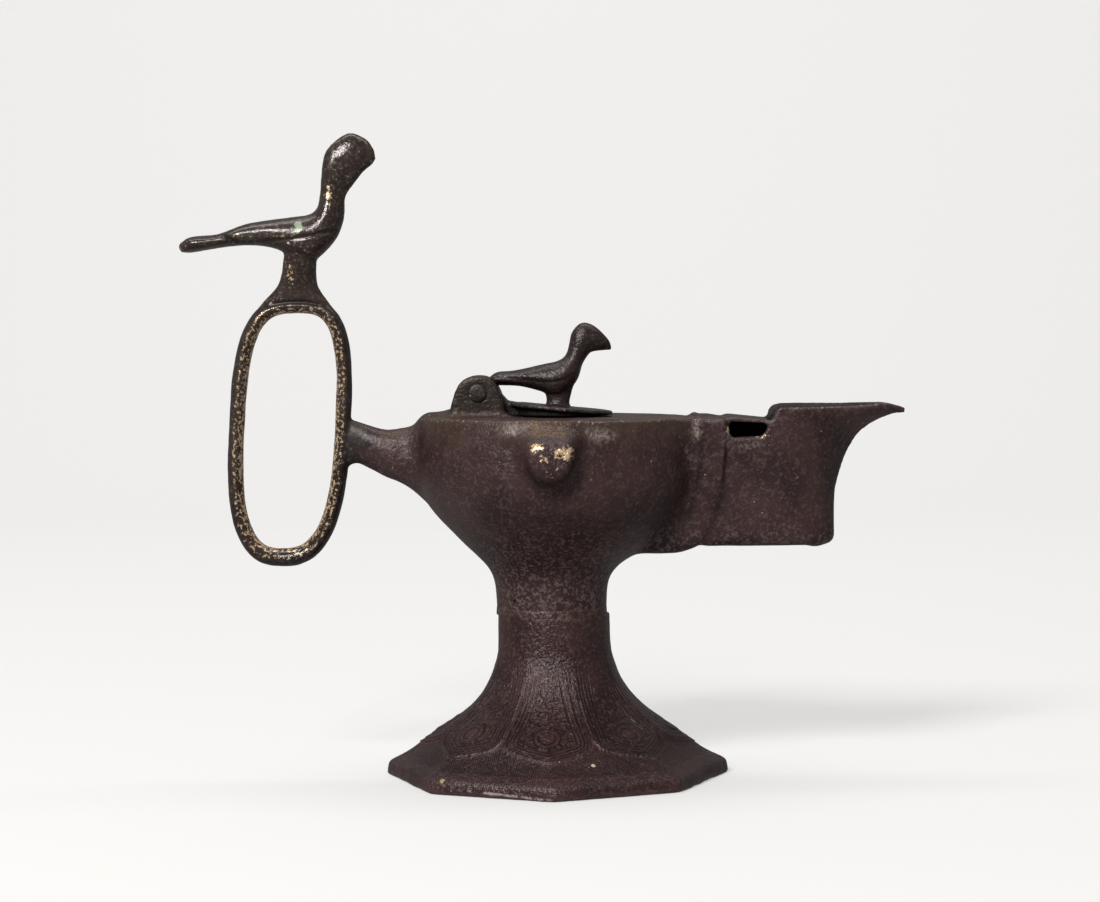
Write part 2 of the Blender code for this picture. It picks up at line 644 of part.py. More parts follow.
LID_BIRD = ((0.00, 0.435, 0.005, 0.480, 0.085), (0.07, 0.390, 0.075, 0.500, 0.125),
            (0.22, 0.378, 0.240, 0.508, 0.130), (0.42, 0.335, 0.410, 0.550, 0.145),
            (0.56, 0.305, 0.560, 0.600, 0.155), (0.625, 0.26, 0.710, 0.480, 0.130),
            (0.655, 0.17, 0.765, 0.330, 0.105), (0.68, 0.07, 0.820, 0.248, 0.100),
            (0.76, 0.00, 0.860, 0.230, 0.088), (0.86, 0.022, 0.915, 0.226, 0.066),
            (0.945, 0.098, 0.955, 0.222, 0.040), (0.985, 0.150, 0.985, 0.222, 0.024),
            (1.00, 0.195, 1.000, 0.215, 0.010))


def make_bowl():
    bowl = make_vessel()
    added = [make_trough(), make_collar(), make_boss(-1), make_boss(1), make_lug(-1), make_lug(1),
             make_root(), make_loop()]
    bird = bird_body("bird", HANDLE_BIRD_X, HANDLE_BIRD_Z, HANDLE_BIRD_LENGTH, HANDLE_BIRD, HANDLE_STANCE)
    combine(bird, make_finger_hole(), "DIFFERENCE")
    added.append(bird)
    for part in added:
        combine(bowl, part, "UNION")
    reach = KNUCKLE_WIDTH / 2 + SIDE_PLAY + 2 * LUG_THICKNESS
    for cut in (make_cavity(), make_channel(), make_window(), make_mouth(), make_socket(),
                make_pin_hole(reach)):
        combine(bowl, cut, "DIFFERENCE")
    return complete(bowl, bronze("bronze_bowl", (0.042, 0.025, 0.020), 0.38))


# Lid
def lid_height(x, y):
    far = LID_X + LID_RADIUS
    t = (far - x) / (2 * LID_RADIUS)
    skew = LID_SKEW * (1 - y / LID_RADIUS)
    return rim_height(x, y) + SEAT_GAP + LID_LIFT * t + skew


def make_lid():
    rings = []
    for z, radius in ((0, LID_RADIUS), (LID_THICKNESS - LID_ROUNDING, LID_RADIUS),
                      (LID_THICKNESS, LID_RADIUS - LID_ROUNDING)):
        ring = []
        for i in range(32):
            a = math.tau * i / 32
            x = LID_X + radius * math.cos(a)
            y = radius * math.sin(a)
            ring.append((x, y, lid_height(x, y) + z))
        rings.append(ring)
    lid = skin("lid", rings)
    half = KNUCKLE_WIDTH / 2
    combine(lid, turned("knuckle", PIN_X, PIN_Z, ((-half, KNUCKLE_RADIUS), (half, KNUCKLE_RADIUS))), "UNION")
    drum = []
    for raised in (False, True):
        ring = []
        for i in range(32):
            a = math.tau * (i + 0.5) / 32
            x = OPENING_X + LID_DRUM_RADIUS * math.cos(a)
            y = LID_DRUM_RADIUS * math.sin(a)
            top = lid_height(x, y) + LID_THICKNESS / 2
            ring.append((x, y, top if raised else rim_height(x, y) + SEAT_GAP))
        drum.append(ring)
    combine(lid, skin("drum", drum), "UNION")
    root = LID_X - 0.68 * LID_RADIUS
    edge = LID_X - LID_RADIUS
    thick = KNUCKLE_RADIUS
    tongue = [(root, lid_height(root, 0) + 0.2 * LID_THICKNESS),
              (root, lid_height(root, 0) + 0.8 * LID_THICKNESS),
              (edge + 0.1 * thick, lid_height(edge, 0) + 1.1 * LID_THICKNESS),
              (PIN_X + 1.7 * thick, PIN_Z - 0.26 * thick), (PIN_X + 1.3 * thick, PIN_Z + 0.35 * thick),
              (PIN_X + 0.3 * thick, PIN_Z + 0.9 * thick), (PIN_X, PIN_Z - 0.9 * thick),
              (PIN_X + 1.15 * thick, lid_height(edge, 0) - 0.1 * LID_THICKNESS)]
    combine(lid, prism("tongue", tongue, -half, half), "UNION")
    combine(lid, make_pin_hole(half + KNUCKLE_RADIUS), "DIFFERENCE")
    base = (LID_BIRD_RISE - (lid_height(LID_X, 0) - rim_height(LID_X)) - 0.5 * LID_THICKNESS) / LID_BIRD_LENGTH
    stance = ((0.400, 0.50, 0.694, 0.50, 0.105), (0.442, 0.544, 0.677, 0.544, 0.090),
              (0.462, 0.595, 0.665, 0.595, 0.083), (0.466, base - 0.05, 0.655, base - 0.05, 0.085),
              (0.458, base, 0.662, base, 0.098))
    head = rim_height(LID_X) + LID_BIRD_RISE
    combine(lid, bird_body("bird", LID_BIRD_X, head, LID_BIRD_LENGTH, LID_BIRD, stance), "UNION")
    complete(lid, bronze("bronze_lid", (0.030, 0.021, 0.022), 0.40))
    # the lid turns about the pin, so its origin is there
    for vertex in lid.data.vertices:
        vertex.co -= Vector((PIN_X, 0, PIN_Z))
    lid.location = (PIN_X, 0, PIN_Z)
    return lid


def make_pin():
    seat = KNUCKLE_WIDTH / 2 + SIDE_PLAY + LUG_THICKNESS + SIDE_PLAY
    profile = [(-seat - PIN_HEAD, PIN_HEAD_RADIUS * 0.7), (-seat - 0.5 * PIN_HEAD, PIN_HEAD_RADIUS),
               (-seat, PIN_HEAD_RADIUS), (-seat, PIN_RADIUS), (seat, PIN_RADIUS), (seat, PIN_HEAD_RADIUS),
               (seat + 0.5 * PIN_HEAD, PIN_HEAD_RADIUS), (seat + PIN_HEAD, PIN_HEAD_RADIUS * 0.7)]
    pin = turned("hinge_pin", PIN_X, PIN_Z, profile)
    return complete(pin, bronze("bronze_pin", (0.030, 0.020, 0.018), 0.42))


make_foot()
make_bowl()
make_lid()
make_pin()
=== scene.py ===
import functools
import math

import bmesh
import bpy
import numpy as np
from mathutils import Matrix, Vector, noise
from mathutils.bvhtree import BVHTree


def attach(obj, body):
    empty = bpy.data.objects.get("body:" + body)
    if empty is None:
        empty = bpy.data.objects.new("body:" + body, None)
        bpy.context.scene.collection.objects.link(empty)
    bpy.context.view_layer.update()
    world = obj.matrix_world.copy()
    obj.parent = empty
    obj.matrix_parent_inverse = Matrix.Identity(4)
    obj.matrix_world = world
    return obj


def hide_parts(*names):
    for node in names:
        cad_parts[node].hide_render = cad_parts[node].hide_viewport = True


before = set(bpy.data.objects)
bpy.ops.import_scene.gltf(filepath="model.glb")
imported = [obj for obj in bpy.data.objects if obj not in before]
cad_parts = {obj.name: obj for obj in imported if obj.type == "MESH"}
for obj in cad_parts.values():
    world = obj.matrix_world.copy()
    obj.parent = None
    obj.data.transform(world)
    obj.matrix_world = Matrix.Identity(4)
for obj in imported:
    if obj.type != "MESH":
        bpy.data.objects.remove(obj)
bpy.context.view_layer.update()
mm = 0.001
print("frame loaded:", sorted(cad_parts))


def addObject(name, data):
    made = bpy.data.objects.new(name, data)
    bpy.context.scene.collection.objects.link(made)
    return made


# camera first: the photograph's place and angle, with its pitch in degrees below level
viewOfPhoto = dict(place=(0.0012, -0.6804, 0.1146), pitch=3.09, roll=0.63, focalPixels=2835,
                   imageWidth=1100, sensor=36, near=0.02, far=20)


def makeCamera(view):
    data = bpy.data.cameras.new("photoCamera")
    data.sensor_width = view["sensor"]
    data.lens = view["focalPixels"] / view["imageWidth"] * view["sensor"]
    data.clip_start, data.clip_end = view["near"], view["far"]
    camera = addObject("photoCamera", data)
    pitch, roll = math.radians(view["pitch"]), math.radians(view["roll"])
    ahead = Vector((0, math.cos(pitch), -math.sin(pitch)))
    right, up = Vector((1, 0, 0)), Vector((0, math.sin(pitch), math.cos(pitch)))
    sideways = right * math.cos(roll) - up * math.sin(roll)
    upwards = right * math.sin(roll) + up * math.cos(roll)
    turn = Matrix((sideways, upwards, -ahead)).transposed().to_4x4()
    camera.matrix_world = Matrix.Translation(view["place"]) @ turn
    bpy.context.scene.camera = camera


makeCamera(viewOfPhoto)


# curves and numbers
def ease(t):
    t = np.clip(t, 0.0, 1.0)
    return t * t * (3 - 2 * t)


def mix(a, b, t):
    return a + (b - a) * t


def signedPower(value, exponent):
    return np.sign(value) * np.abs(value) ** exponent


def around(sides, shift=0.0):
    # angles spread evenly over one turn
    return math.tau * (np.arange(sides) + shift) / sides


def hump(value, at, wide):
    return np.exp(-((value - at) / wide) ** 2)


def ripple(value, rows):
    # rounded ridges and grooves: place, half width and height of each
    return sum(hump(value, at, wide) * high for at, wide, high in rows)


def readCurve(points, place):
    # smooth curve through (place, value) pairs with rising places
    places, values = np.array(points, float).T
    p, v = np.pad(places, 1, "edge"), np.pad(values, 1, "edge")
    slopes = (v[2:] - v[:-2]) / (p[2:] - p[:-2])
    place = np.asarray(place, float)
    i = np.clip(np.searchsorted(places, place) - 1, 0, len(places) - 2)
    gap = places[i + 1] - places[i]
    t = np.clip((place - places[i]) / gap, 0, 1)
    a = 2 * t ** 3 - 3 * t ** 2 + 1
    b = (t ** 3 - 2 * t ** 2 + t) * gap
    c = (t ** 3 - t ** 2) * gap
    return a * values[i] + b * slopes[i] + (1 - a) * values[i + 1] + c * slopes[i + 1]


# bodies
def makeObject(bm, name):
    mesh = bpy.data.meshes.new(name)
    bm.to_mesh(mesh)
    bm.free()
    return addObject(name, mesh)


def onlyVerts(items):
    return [item for item in items if isinstance(item, bmesh.types.BMVert)]


def placeRow(row, points):
    for vertex, point in zip(row, points):
        vertex.co = point
    return row


def drawOn(bm, row, points):
    # extrudes the open loop of row and brings it to the next ring of points
    edges = [bm.edges.get((row[i - 1], row[i])) for i in range(len(row))]
    fresh = set(onlyVerts(bmesh.ops.extrude_edge_only(bm, edges=edges)["geom"]))
    return placeRow([next(e.other_vert(vertex) for e in vertex.link_edges if e.other_vert(vertex) in fresh)
                     for vertex in row], points)


def spanBody(name, rings, joined=False):
    # a closed body drawn through rings of points
    bm = bmesh.new()
    row = placeRow(bmesh.ops.create_circle(bm, segments=len(rings[0]), radius=1)["verts"], rings[0])
    for ring in rings[1:]:
        row = drawOn(bm, row, ring)
    if joined:
        drawOn(bm, row, rings[0])
        bmesh.ops.remove_doubles(bm, verts=bm.verts, dist=0.001 * mm)
    else:
        ends = bmesh.ops.holes_fill(bm, edges=[e for e in bm.edges if e.is_boundary], sides=0)
        bmesh.ops.triangulate(bm, faces=ends["faces"])
    bmesh.ops.recalc_face_normals(bm, faces=bm.faces)
    return makeObject(bm, name)


def slab(name, outline, near, far):
    # a flat outline in x and z, carried across the lamp
    bm = bmesh.new()
    face = bm.faces.new([bm.verts.new((x, near, z)) for x, z in outline])
    grown = bmesh.ops.extrude_face_region(bm, geom=[face])["geom"]
    bmesh.ops.translate(bm, verts=onlyVerts(grown), vec=(0, far - near, 0))
    bmesh.ops.recalc_face_normals(bm, faces=bm.faces)
    return makeObject(bm, name)


def spinRow(bm, row, first, axis, steps):
    # turns a row of points about an axis through the origin
    edges = [bm.edges.new((row[i - 1], row[i])) for i in range(first, len(row))]
    bmesh.ops.spin(bm, geom=row + edges, cent=(0, 0, 0), axis=axis, angle=math.tau, steps=steps,
                   use_merge=True)


def turnedAcross(name, x, z, profile, sides=48):
    # turned about a line across the lamp: pairs of y and radius
    return spanBody(name, [[(x + radius * math.cos(a), y, z + radius * math.sin(a))
                            for a in around(sides, 0.5)] for y, radius in profile])


def limbBody(name, sections, sides=24, steps=4, squareness=1.0):
    # a rounded body between pairs of outline points (x, z), with half widths
    count = len(sections)
    places = np.linspace(0, count - 1, (count - 1) * steps + 1)
    columns = [readCurve([(i, s[c]) for i, s in enumerate(sections)], places) for c in range(5)]
    circle = [((1 + signedPower(math.cos(a), squareness)) / 2, signedPower(math.sin(a), squareness))
              for a in around(sides)]
    return spanBody(name, [[(mix(x1, x0, up), width * out, mix(z1, z0, up)) for up, out in circle]
                           for x0, z0, x1, z1, width in zip(*columns)])


def change(piece, kind, **settings):
    # runs one modifier and keeps what it makes as the piece's own mesh
    step = piece.modifiers.new(kind, kind)
    for key, value in settings.items():
        setattr(step, key, value)
    bpy.context.view_layer.update()
    depsgraph = bpy.context.evaluated_depsgraph_get()
    result = bpy.data.meshes.new_from_object(piece.evaluated_get(depsgraph))
    piece.modifiers.clear()
    old, piece.data = piece.data, result
    bpy.data.meshes.remove(old)


def joinTo(target, other, operation="UNION"):
    change(target, "BOOLEAN", operation=operation, solver="EXACT", object=other)
    bpy.data.objects.remove(other)


def recast(piece, voxel):
    # one even skin of small facets, as a cast surface
    change(piece, "REMESH", mode="VOXEL", voxel_size=voxel, adaptivity=0)


# surfaces
def readSkin(piece):
    # the piece's points and the directions of its skin there
    skin = []
    for kind in ("co", "normal"):
        values = np.empty(len(piece.data.vertices) * 3)
        piece.data.vertices.foreach_get(kind, values)
        skin.append(values.reshape(-1, 3))
    return skin


def readPoints(piece):
    return readSkin(piece)[0]


def writePoints(piece, points):
    piece.data.vertices.foreach_set("co", np.asarray(points, float).ravel())
    piece.data.update()


def averager(piece):
    # a function that averages points over the mesh's edges, as many times as asked
    pairs = np.empty(len(piece.data.edges) * 2, np.int64)
    piece.data.edges.foreach_get("vertices", pairs)
    a, b = pairs.reshape(-1, 2).T
    start, end, size = np.concatenate((a, b)), np.concatenate((b, a)), len(piece.data.vertices)
    count = np.maximum(np.bincount(start, minlength=size), 1)

    def average(points, times=1):
        for _ in range(times):
            points = (points + np.stack([np.bincount(start, weights=column[end], minlength=size) / count
                                         for column in points.T], 1)) / 2
        return points

    return average


def easeShape(piece, weight, times):
    # softens the surface where weight is 1 and leaves it where it is 0
    average, points = averager(piece), readPoints(piece)
    for _ in range(times):
        points = mix(points, average(points), np.reshape(weight, (-1, 1)))
    writePoints(piece, points)


def standOut(piece, times):
    # how far each point stands out of its surroundings, in mm: ridges above 0, hollows below
    points, normals = readSkin(piece)
    return ((points - averager(piece)(points, times)) * normals).sum(1) / mm


def grain(points, *layers):
    # smooth unevenness, as the sum of layers: size of the lumps in mm, seed and height
    total = 0
    for size, seed, height in layers:
        shift = Vector((seed * 7.3, seed * 3.1, seed * 5.7))
        total = total + height * np.array([noise.noise(Vector(point) / (size * mm) + shift)
                                           for point in points])
    return total


def push(points, directions, amount):
    # moves the points along their directions by an amount in mm
    points += directions * (amount * mm)[:, None]


def nearTo(points, centre, reach):
    # 1 at the centre, fading to 0 at the reach
    return ease(1 - np.linalg.norm((points - np.array(centre)) / np.array(reach), axis=1))


def spotted(points, spots):
    # the strongest of several spots: centre, reach and strength of each
    return np.maximum.reduce([nearTo(points, centre, reach) * share for centre, reach, share in spots])


def softenNear(piece, spots, times):
    # fillets where parts flow into each other
    easeShape(piece, np.clip(spotted(readPoints(piece) / mm, spots), 0, 1), times)


def giveValues(piece, **fields):
    for name, values in fields.items():
        field = piece.data.attributes.new(name, "FLOAT", "POINT")
        field.data.foreach_set("value", np.float32(values) * np.ones(len(piece.data.vertices), np.float32))


def faceCount(piece):
    piece.data.calc_loop_triangles()
    return len(piece.data.loop_triangles)


def finishPiece(piece, body, slot, material, *nodes):
    piece.data.materials.clear()
    piece.data.materials.append(material)
    piece.data.shade_smooth()
    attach(piece, body)
    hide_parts(*nodes)
    print(piece.name, faceCount(piece), "triangles")


# materials
class Recipe:
    # one node material, with short calls for the nodes that are used again and again
    def __init__(self, name):
        self.material = bpy.data.materials.new(name)
        self.material.use_nodes = True
        self.tree = self.material.node_tree
        self.shader = self.tree.nodes["Principled BSDF"]
        self.place = self.node("ShaderNodeTexCoord", "Object", {})

    def node(self, kind, output, inputs, **settings):
        made = self.tree.nodes.new(kind)
        for key, value in settings.items():
            setattr(made, key, value)
        for key, value in inputs.items():
            self.feed(made.inputs[key], value)
        return made.outputs[output]

    def feed(self, socket, value):
        if isinstance(value, bpy.types.NodeSocket):
            self.tree.links.new(value, socket)
        else:
            socket.default_value = (*value, 1.0) if socket.type == "RGBA" else value

    def sum(self, operation, *values):
        return self.node("ShaderNodeMath", 0, dict(enumerate(values)), operation=operation)

    def plus(self, base, value, share):
        return self.sum("MULTIPLY_ADD", value, share, base)

    def times(self, *values):
        return functools.reduce(functools.partial(self.sum, "MULTIPLY"), values)

    def most(self, *values):
        return functools.reduce(functools.partial(self.sum, "MAXIMUM"), values)

    def between(self, value, low, high):
        # 0 below low, 1 above high, and smooth in between
        return self.node("ShaderNodeMapRange", "Result",
                         {"Value": value, "From Min": low, "From Max": high}, interpolation_type="SMOOTHSTEP")

    def line(self, value, at, half):
        # 1 along a line where value is at, 0 further than half away
        away = self.sum("ABSOLUTE", self.sum("SUBTRACT", value, at))
        return self.sum("SUBTRACT", 1.0, self.between(away, half * 0.35, half))

    def cloud(self, size, detail=2.0, rough=0.5):
        return self.node("ShaderNodeTexNoise", "Fac", {"Vector": self.place, "Scale": 1.0 / size,
                                                       "Detail": detail, "Roughness": rough})

    def cells(self, size, place=None):
        return self.node("ShaderNodeTexVoronoi", "Distance",
                         {"Vector": place or self.place, "Scale": 1.0 / size})

    def blend(self, share, a, b, kind="MIX"):
        return self.node("ShaderNodeMix", 2, {0: share, 6: a, 7: b}, data_type="RGBA", blend_type=kind)

    def paint(self, tint, *masks, kind="MIX"):
        # takes the colour so far to the tint, where all the masks are high
        self.colour = self.blend(self.times(*masks), self.colour, tint, kind)

    def field(self, name):
        return self.node("ShaderNodeAttribute", "Fac", {}, attribute_name=name)

    def axis(self, name):
        return self.node("ShaderNodeSeparateXYZ", name, {0: self.place})

    def nearPoint(self, point, reach, ragged=0.35):
        # a small spot with a ragged edge, its place and reach in mm
        away = self.node("ShaderNodeVectorMath", "Value", {0: self.place, 1: [c * mm for c in point]},
                         operation="DISTANCE")
        away = self.sum("DIVIDE", away, reach * mm)
        away = self.plus(away, self.cloud(reach * mm * 0.5, 3, 0.6), 2 * ragged)
        return self.sum("SUBTRACT", 1.0, self.between(away, 0.7 + ragged, 1.0 + ragged))

    def bump(self, height, depth, **under):
        return self.node("ShaderNodeBump", "Normal", {"Strength": 1.0, "Distance": depth, "Height": height,
                                                      **under})

    def close(self):
        for name, value in (("Base Color", self.colour), ("Roughness", self.roughness),
                            ("Metallic", self.metal), ("Normal", self.normal)):
            self.feed(self.shader.inputs[name], value)
        return self.material


patina = dict(
    dark=(0.0220, 0.0108, 0.0110), warm=(0.0385, 0.0200, 0.0195), grey=(0.092, 0.066, 0.064),
    gold=(0.55, 0.40, 0.25), crust=(0.105, 0.072, 0.045), pale=(0.50, 0.46, 0.40),
    verdigris=(0.24, 0.29, 0.215), soot=(0.003, 0.0025, 0.0025),
)


def bronzeRecipe(name, darker, glint=0.4, goldShare=1.0, rough=0.46, grainDepth=0.12, metal=0.15,
                 shine=0.3):
    # dark patina with fine grain and painted pale glints, paler ridges, speckled wear with painted highlights,
    # dirt in the hollows, painted shade and small pits
    made = Recipe(name)
    dark, warm, grey = (tuple(np.array(darker) * patina[key]) for key in ("dark", "warm", "grey"))
    made.fine, made.dust = fine, dust = made.cloud(1.5 * mm, 3, 0.6), made.cloud(0.75 * mm, 3, 0.65)
    made.grainy = made.plus(made.times(fine, 0.45), dust, 0.55)
    ridge, rubbed, soot = made.field("standOut"), made.field("rubbed"), made.field("soot")
    made.colour = made.blend(made.between(made.cloud(11 * mm, 3, 0.6), 0.36, 0.66), dark, warm)
    # painted pale glints: the glint share lightens the fine grain into speckled highlights
    made.paint(grey, made.between(made.grainy, 0.49, 0.63), glint)
    made.paint(grey, made.between(made.plus(ridge, fine, 0.2), 0.18, 0.55), 0.35)
    speckled = made.plus(made.times(fine, 0.25), dust, 0.75)
    # speckled gold wear, which also paints the highlights that the pieces mark as wear
    worn = made.times(made.between(made.plus(speckled, rubbed, 0.42), 0.74, 0.86), goldShare)
    made.paint(patina["gold"], worn)
    hollow = made.between(made.plus(ridge, dust, -0.12), -0.16, -0.40)
    made.paint(patina["crust"], hollow, made.between(fine, 0.5, 0.70), 0.30)
    made.paint(patina["pale"], made.between(made.cells(2.6 * mm), 0.085, 0.055),
               made.between(made.cloud(9 * mm), 0.52, 0.58), 0.35)
    # painted shade: near black where the pieces mark hollows, undersides, grooves and holes
    made.paint(patina["soot"], soot)
    roughness = made.plus(made.plus(rough - 0.11, fine, 0.22), soot, 0.3)
    made.roughness = made.plus(roughness, hollow, 0.15)
    made.metal = made.plus(metal, worn, 0.5 - metal)
    pit = made.times(made.between(made.cells(1.7 * mm), 0.20, 0.05),
                     made.between(made.cloud(5 * mm), 0.50, 0.62))
    skin = made.plus(made.plus(fine, dust, 1.3), pit, -1.2)
    made.normal = made.bump(skin, grainDepth * mm)
    made.shader.inputs["Specular IOR Level"].default_value = shine
    return made


# foot: an eight-sided flare with eight engraved petals, spun and then pressed into its form
foot = dict(
    middleX=2.2 * mm, height=38.5 * mm, radius=41.4 * mm, edge=2.4 * mm, chamfer=0.6 * mm,
    wall=2.6 * mm, stemX=1.7 * mm, stemRadius=13.0 * mm, bore=8.2 * mm, relief=0.5 * mm,
    petalTip=7.6 * mm, petalShoulder=12.3 * mm, petalShare=0.985, medallion=8.5 * mm,
    baseTurn=math.radians(-1.5), stemTurn=math.radians(-5.0),
    tenonX=1.2 * mm, tenonRadius=10.6 * mm, tenonLength=4.0 * mm, steps=512, levels=108,
    petal=((0.0, 0.0), (0.12, 0.30), (0.3, 0.66), (0.5, 0.87), (0.75, 0.97), (1.0, 1.0)),
    flare=((0.0, 1.0), (0.03, 0.975), (0.083, 0.848), (0.136, 0.741), (0.241, 0.553),
           (0.349, 0.339), (0.454, 0.19), (0.562, 0.096), (0.668, 0.04), (0.776, 0.006), (1.0, 0.0)),
    sleeve=((13.32, 38.85), (13.31, 39.3), (13.29, 39.9), (13.24, 40.5), (12.9, 41.3), (12.5, 38.9)),
    ribs=((0.3, 0.45, 0.24), (1.15, 0.42, -0.18), (2.05, 0.45, 0.14), (3.0, 0.5, -0.18)),
    disc=((2.8, 0.6, 0.30), (1.3, 0.55, -0.22), (0.0, 0.7, 0.18)),
    cuts=((0.75, 0.24), (1.55, 0.24), (2.45, 0.22), (3.4, 0.26)), discCuts=(2.0, 3.4),
    waves=((9, 3, 0.14), (3.1, 5, 0.07), (1.3, 9, 0.03)), nicks=((5.2, 8, 0.3), (1.9, 11, 0.12)),
    worn=((-12, -39, 2.2), (15, 14, 1.5)),
)
sector = math.radians(45)


def footReach(z):
    share = (z - foot["edge"]) / (foot["height"] - foot["edge"])
    return mix(foot["stemRadius"], foot["radius"], readCurve(foot["flare"], share))


def petalHalf(z):
    t = np.clip((z - foot["petalTip"]) / (foot["petalShoulder"] - foot["petalTip"]), 0, 1)
    return sector / 2 * readCurve(foot["petal"], t) * foot["petalShare"]


def footPlan(angle, z, reach):
    # where a point at this angle lies on the turned octagon of its level
    turn = mix(foot["baseTurn"], foot["stemTurn"],
               ease((z - foot["edge"]) / (foot["petalShoulder"] - foot["edge"])))
    offset = angle - turn - np.round((angle - turn) / sector) * sector
    spread = ease((z - foot["edge"]) / (foot["height"] * 0.62))
    pointed = math.cos(sector / 2) / np.cos(sector / 2 - np.abs(offset))
    pointed = pointed - 0.006 * hump(offset, 0, math.radians(1.6))
    flat = mix(1 / np.cos(offset), 1.035, 0.9 * ease((z / foot["height"] - 0.36) / 0.45))
    return reach * mix(pointed, flat, spread), offset


def spinFoot():
    # outer skin, sleeve and tenon, then the hollow, as one chain of radius and height
    height, edge, cut, wall, bore = (foot[key] for key in ("height", "edge", "chamfer", "wall", "bore"))
    rise = (np.arange(1, foot["levels"] + 1) / foot["levels"]) ** 1.12
    outer = np.concatenate(([0.0, cut * 0.35, cut, edge * 0.6, edge], edge + (height - edge) * rise))
    outerReach = np.where(outer >= edge, footReach(outer), foot["radius"])
    outerReach[:2] -= cut, cut * 0.35
    tenon, top = foot["tenonRadius"], height + foot["tenonLength"]
    collar = [(r * mm, z * mm) for r, z in foot["sleeve"]]
    collar += [(tenon, height + 0.4 * mm), (tenon, top), (bore, top), (bore, height * 0.8),
               (bore, height * 0.62)]
    inner = np.linspace(0.55, 0.03, 22) * height
    innerReach = np.maximum(max(bore, foot["stemRadius"] - 2 * wall),
                            footReach(inner + wall * 0.9) - wall * 0.7)
    chain = [*zip(outerReach, outer), *collar, *zip(innerReach, inner), (foot["radius"] - 1.9 * wall, 0.0)]
    bm = bmesh.new()
    mark = bm.verts.layers.int.new("level")
    row = [bm.verts.new((radius, 0, z)) for radius, z in chain]
    for i, vertex in enumerate(row):
        vertex[mark] = i
    spinRow(bm, row, 0, (0, 0, 1), foot["steps"])
    bmesh.ops.recalc_face_normals(bm, faces=bm.faces)
    piece = makeObject(bm, "bronzeFoot")
    level = np.empty(len(piece.data.vertices), np.int32)
    piece.data.attributes["level"].data.foreach_get("value", level)
    piece.data.attributes.remove(piece.data.attributes["level"])
    outside = level < len(outer)
    return piece, np.array(chain)[level, 0], outside, ~outside & (level < len(outer) + len(collar))


def makeFoot():
    piece, reach, outside, onTenon = spinFoot()
    height, edge = foot["height"], foot["edge"]
    x, y, z = readPoints(piece).T
    angle = np.arctan2(y, x)
    radius, offset = footPlan(angle, z, reach)
    # the petals' outline on the unrolled flare: across and along, in metres
    heights = np.linspace(0, height, 700)
    lengths = np.concatenate(([0], np.cumsum(np.hypot(np.diff(heights), np.diff(footReach(heights))))))
    along, across = np.interp(z, heights, lengths), offset * footReach(z)
    borderZ = mix(foot["petalTip"], height, np.linspace(0, 1, 260) ** 2)
    away = np.full(len(z), 1.0)
    for side, up in zip(petalHalf(borderZ) * footReach(borderZ), np.interp(borderZ, heights, lengths)):
        away = np.minimum(away, np.hypot(np.abs(across) - side, along - up))
    inside = (z > foot["petalTip"]) & (np.abs(offset) < petalHalf(z))
    depth = np.where(inside, away, -away) / mm
    rise = along - np.interp(foot["petalTip"], heights, lengths)
    fade = 1 - ease((z - foot["petalShoulder"]) / (height * 0.42))
    lowered = -foot["relief"] * fade * (1 - ease((depth + 0.3) / 0.8)) * ease((z - edge) / (2.2 * mm))
    ribs = ripple(depth, foot["ribs"]) + ripple(np.hypot(across, rise - foot["medallion"]) / mm, foot["disc"])
    ribs += hump(depth, -0.9, 0.45) * 0.20 * ease((z - 4.4 * mm) / (1.2 * mm))
    press = np.where(outside & (z >= edge), lowered + fade * ribs * mm, 0)
    middleX = np.where(onTenon & (z >= height), foot["tenonX"],
                       mix(foot["middleX"], foot["stemX"], ease(z / height)))
    outward = np.stack((np.cos(angle), np.sin(angle), 0 * z), 1)
    points = np.stack((middleX, 0 * z, z), 1) + outward * (np.where(onTenon, reach, radius) + press)[:, None]
    # old knocks: an uneven edge, a slightly wavy flare
    wave = grain(points, *foot["waves"])
    push(points, outward, wave * np.where(onTenon | ~outside, 0.3, 1.0))
    nearEdge = np.where(outside, 1 - ease(z / (5 * mm)), 0)
    nick = grain(points, *foot["nicks"])
    points[:, 2] += np.where(z > 0.1 * mm, nearEdge * nick * mm, 0)
    push(points, outward, nearEdge * grain(points, (2.6, 18, 0.12)))
    points[:, 2] = np.maximum(points[:, 2], 0)
    writePoints(piece, points)
    easeShape(piece, np.where(outside, 0.9 * hump(z / mm, 2.5, 0.9), 0), 9)
    lowEdge = nearTo(readPoints(piece) / mm, *foot["worn"])
    # painted shade inside the hollow of the foot
    giveValues(piece, petalDepth=np.where(outside, depth, -20), petalAcross=across / mm, petalRise=rise / mm,
               petalSide=(sector / 2 - np.abs(offset)) * footReach(z) / mm,
               petalFade=np.where(outside & (z > edge), fade, 0), standOut=standOut(piece, 10),
               rubbed=np.clip(lowEdge * 0.6, 0, 0.42), soot=np.where(outside | (z > height), 0, 0.5))
    return piece


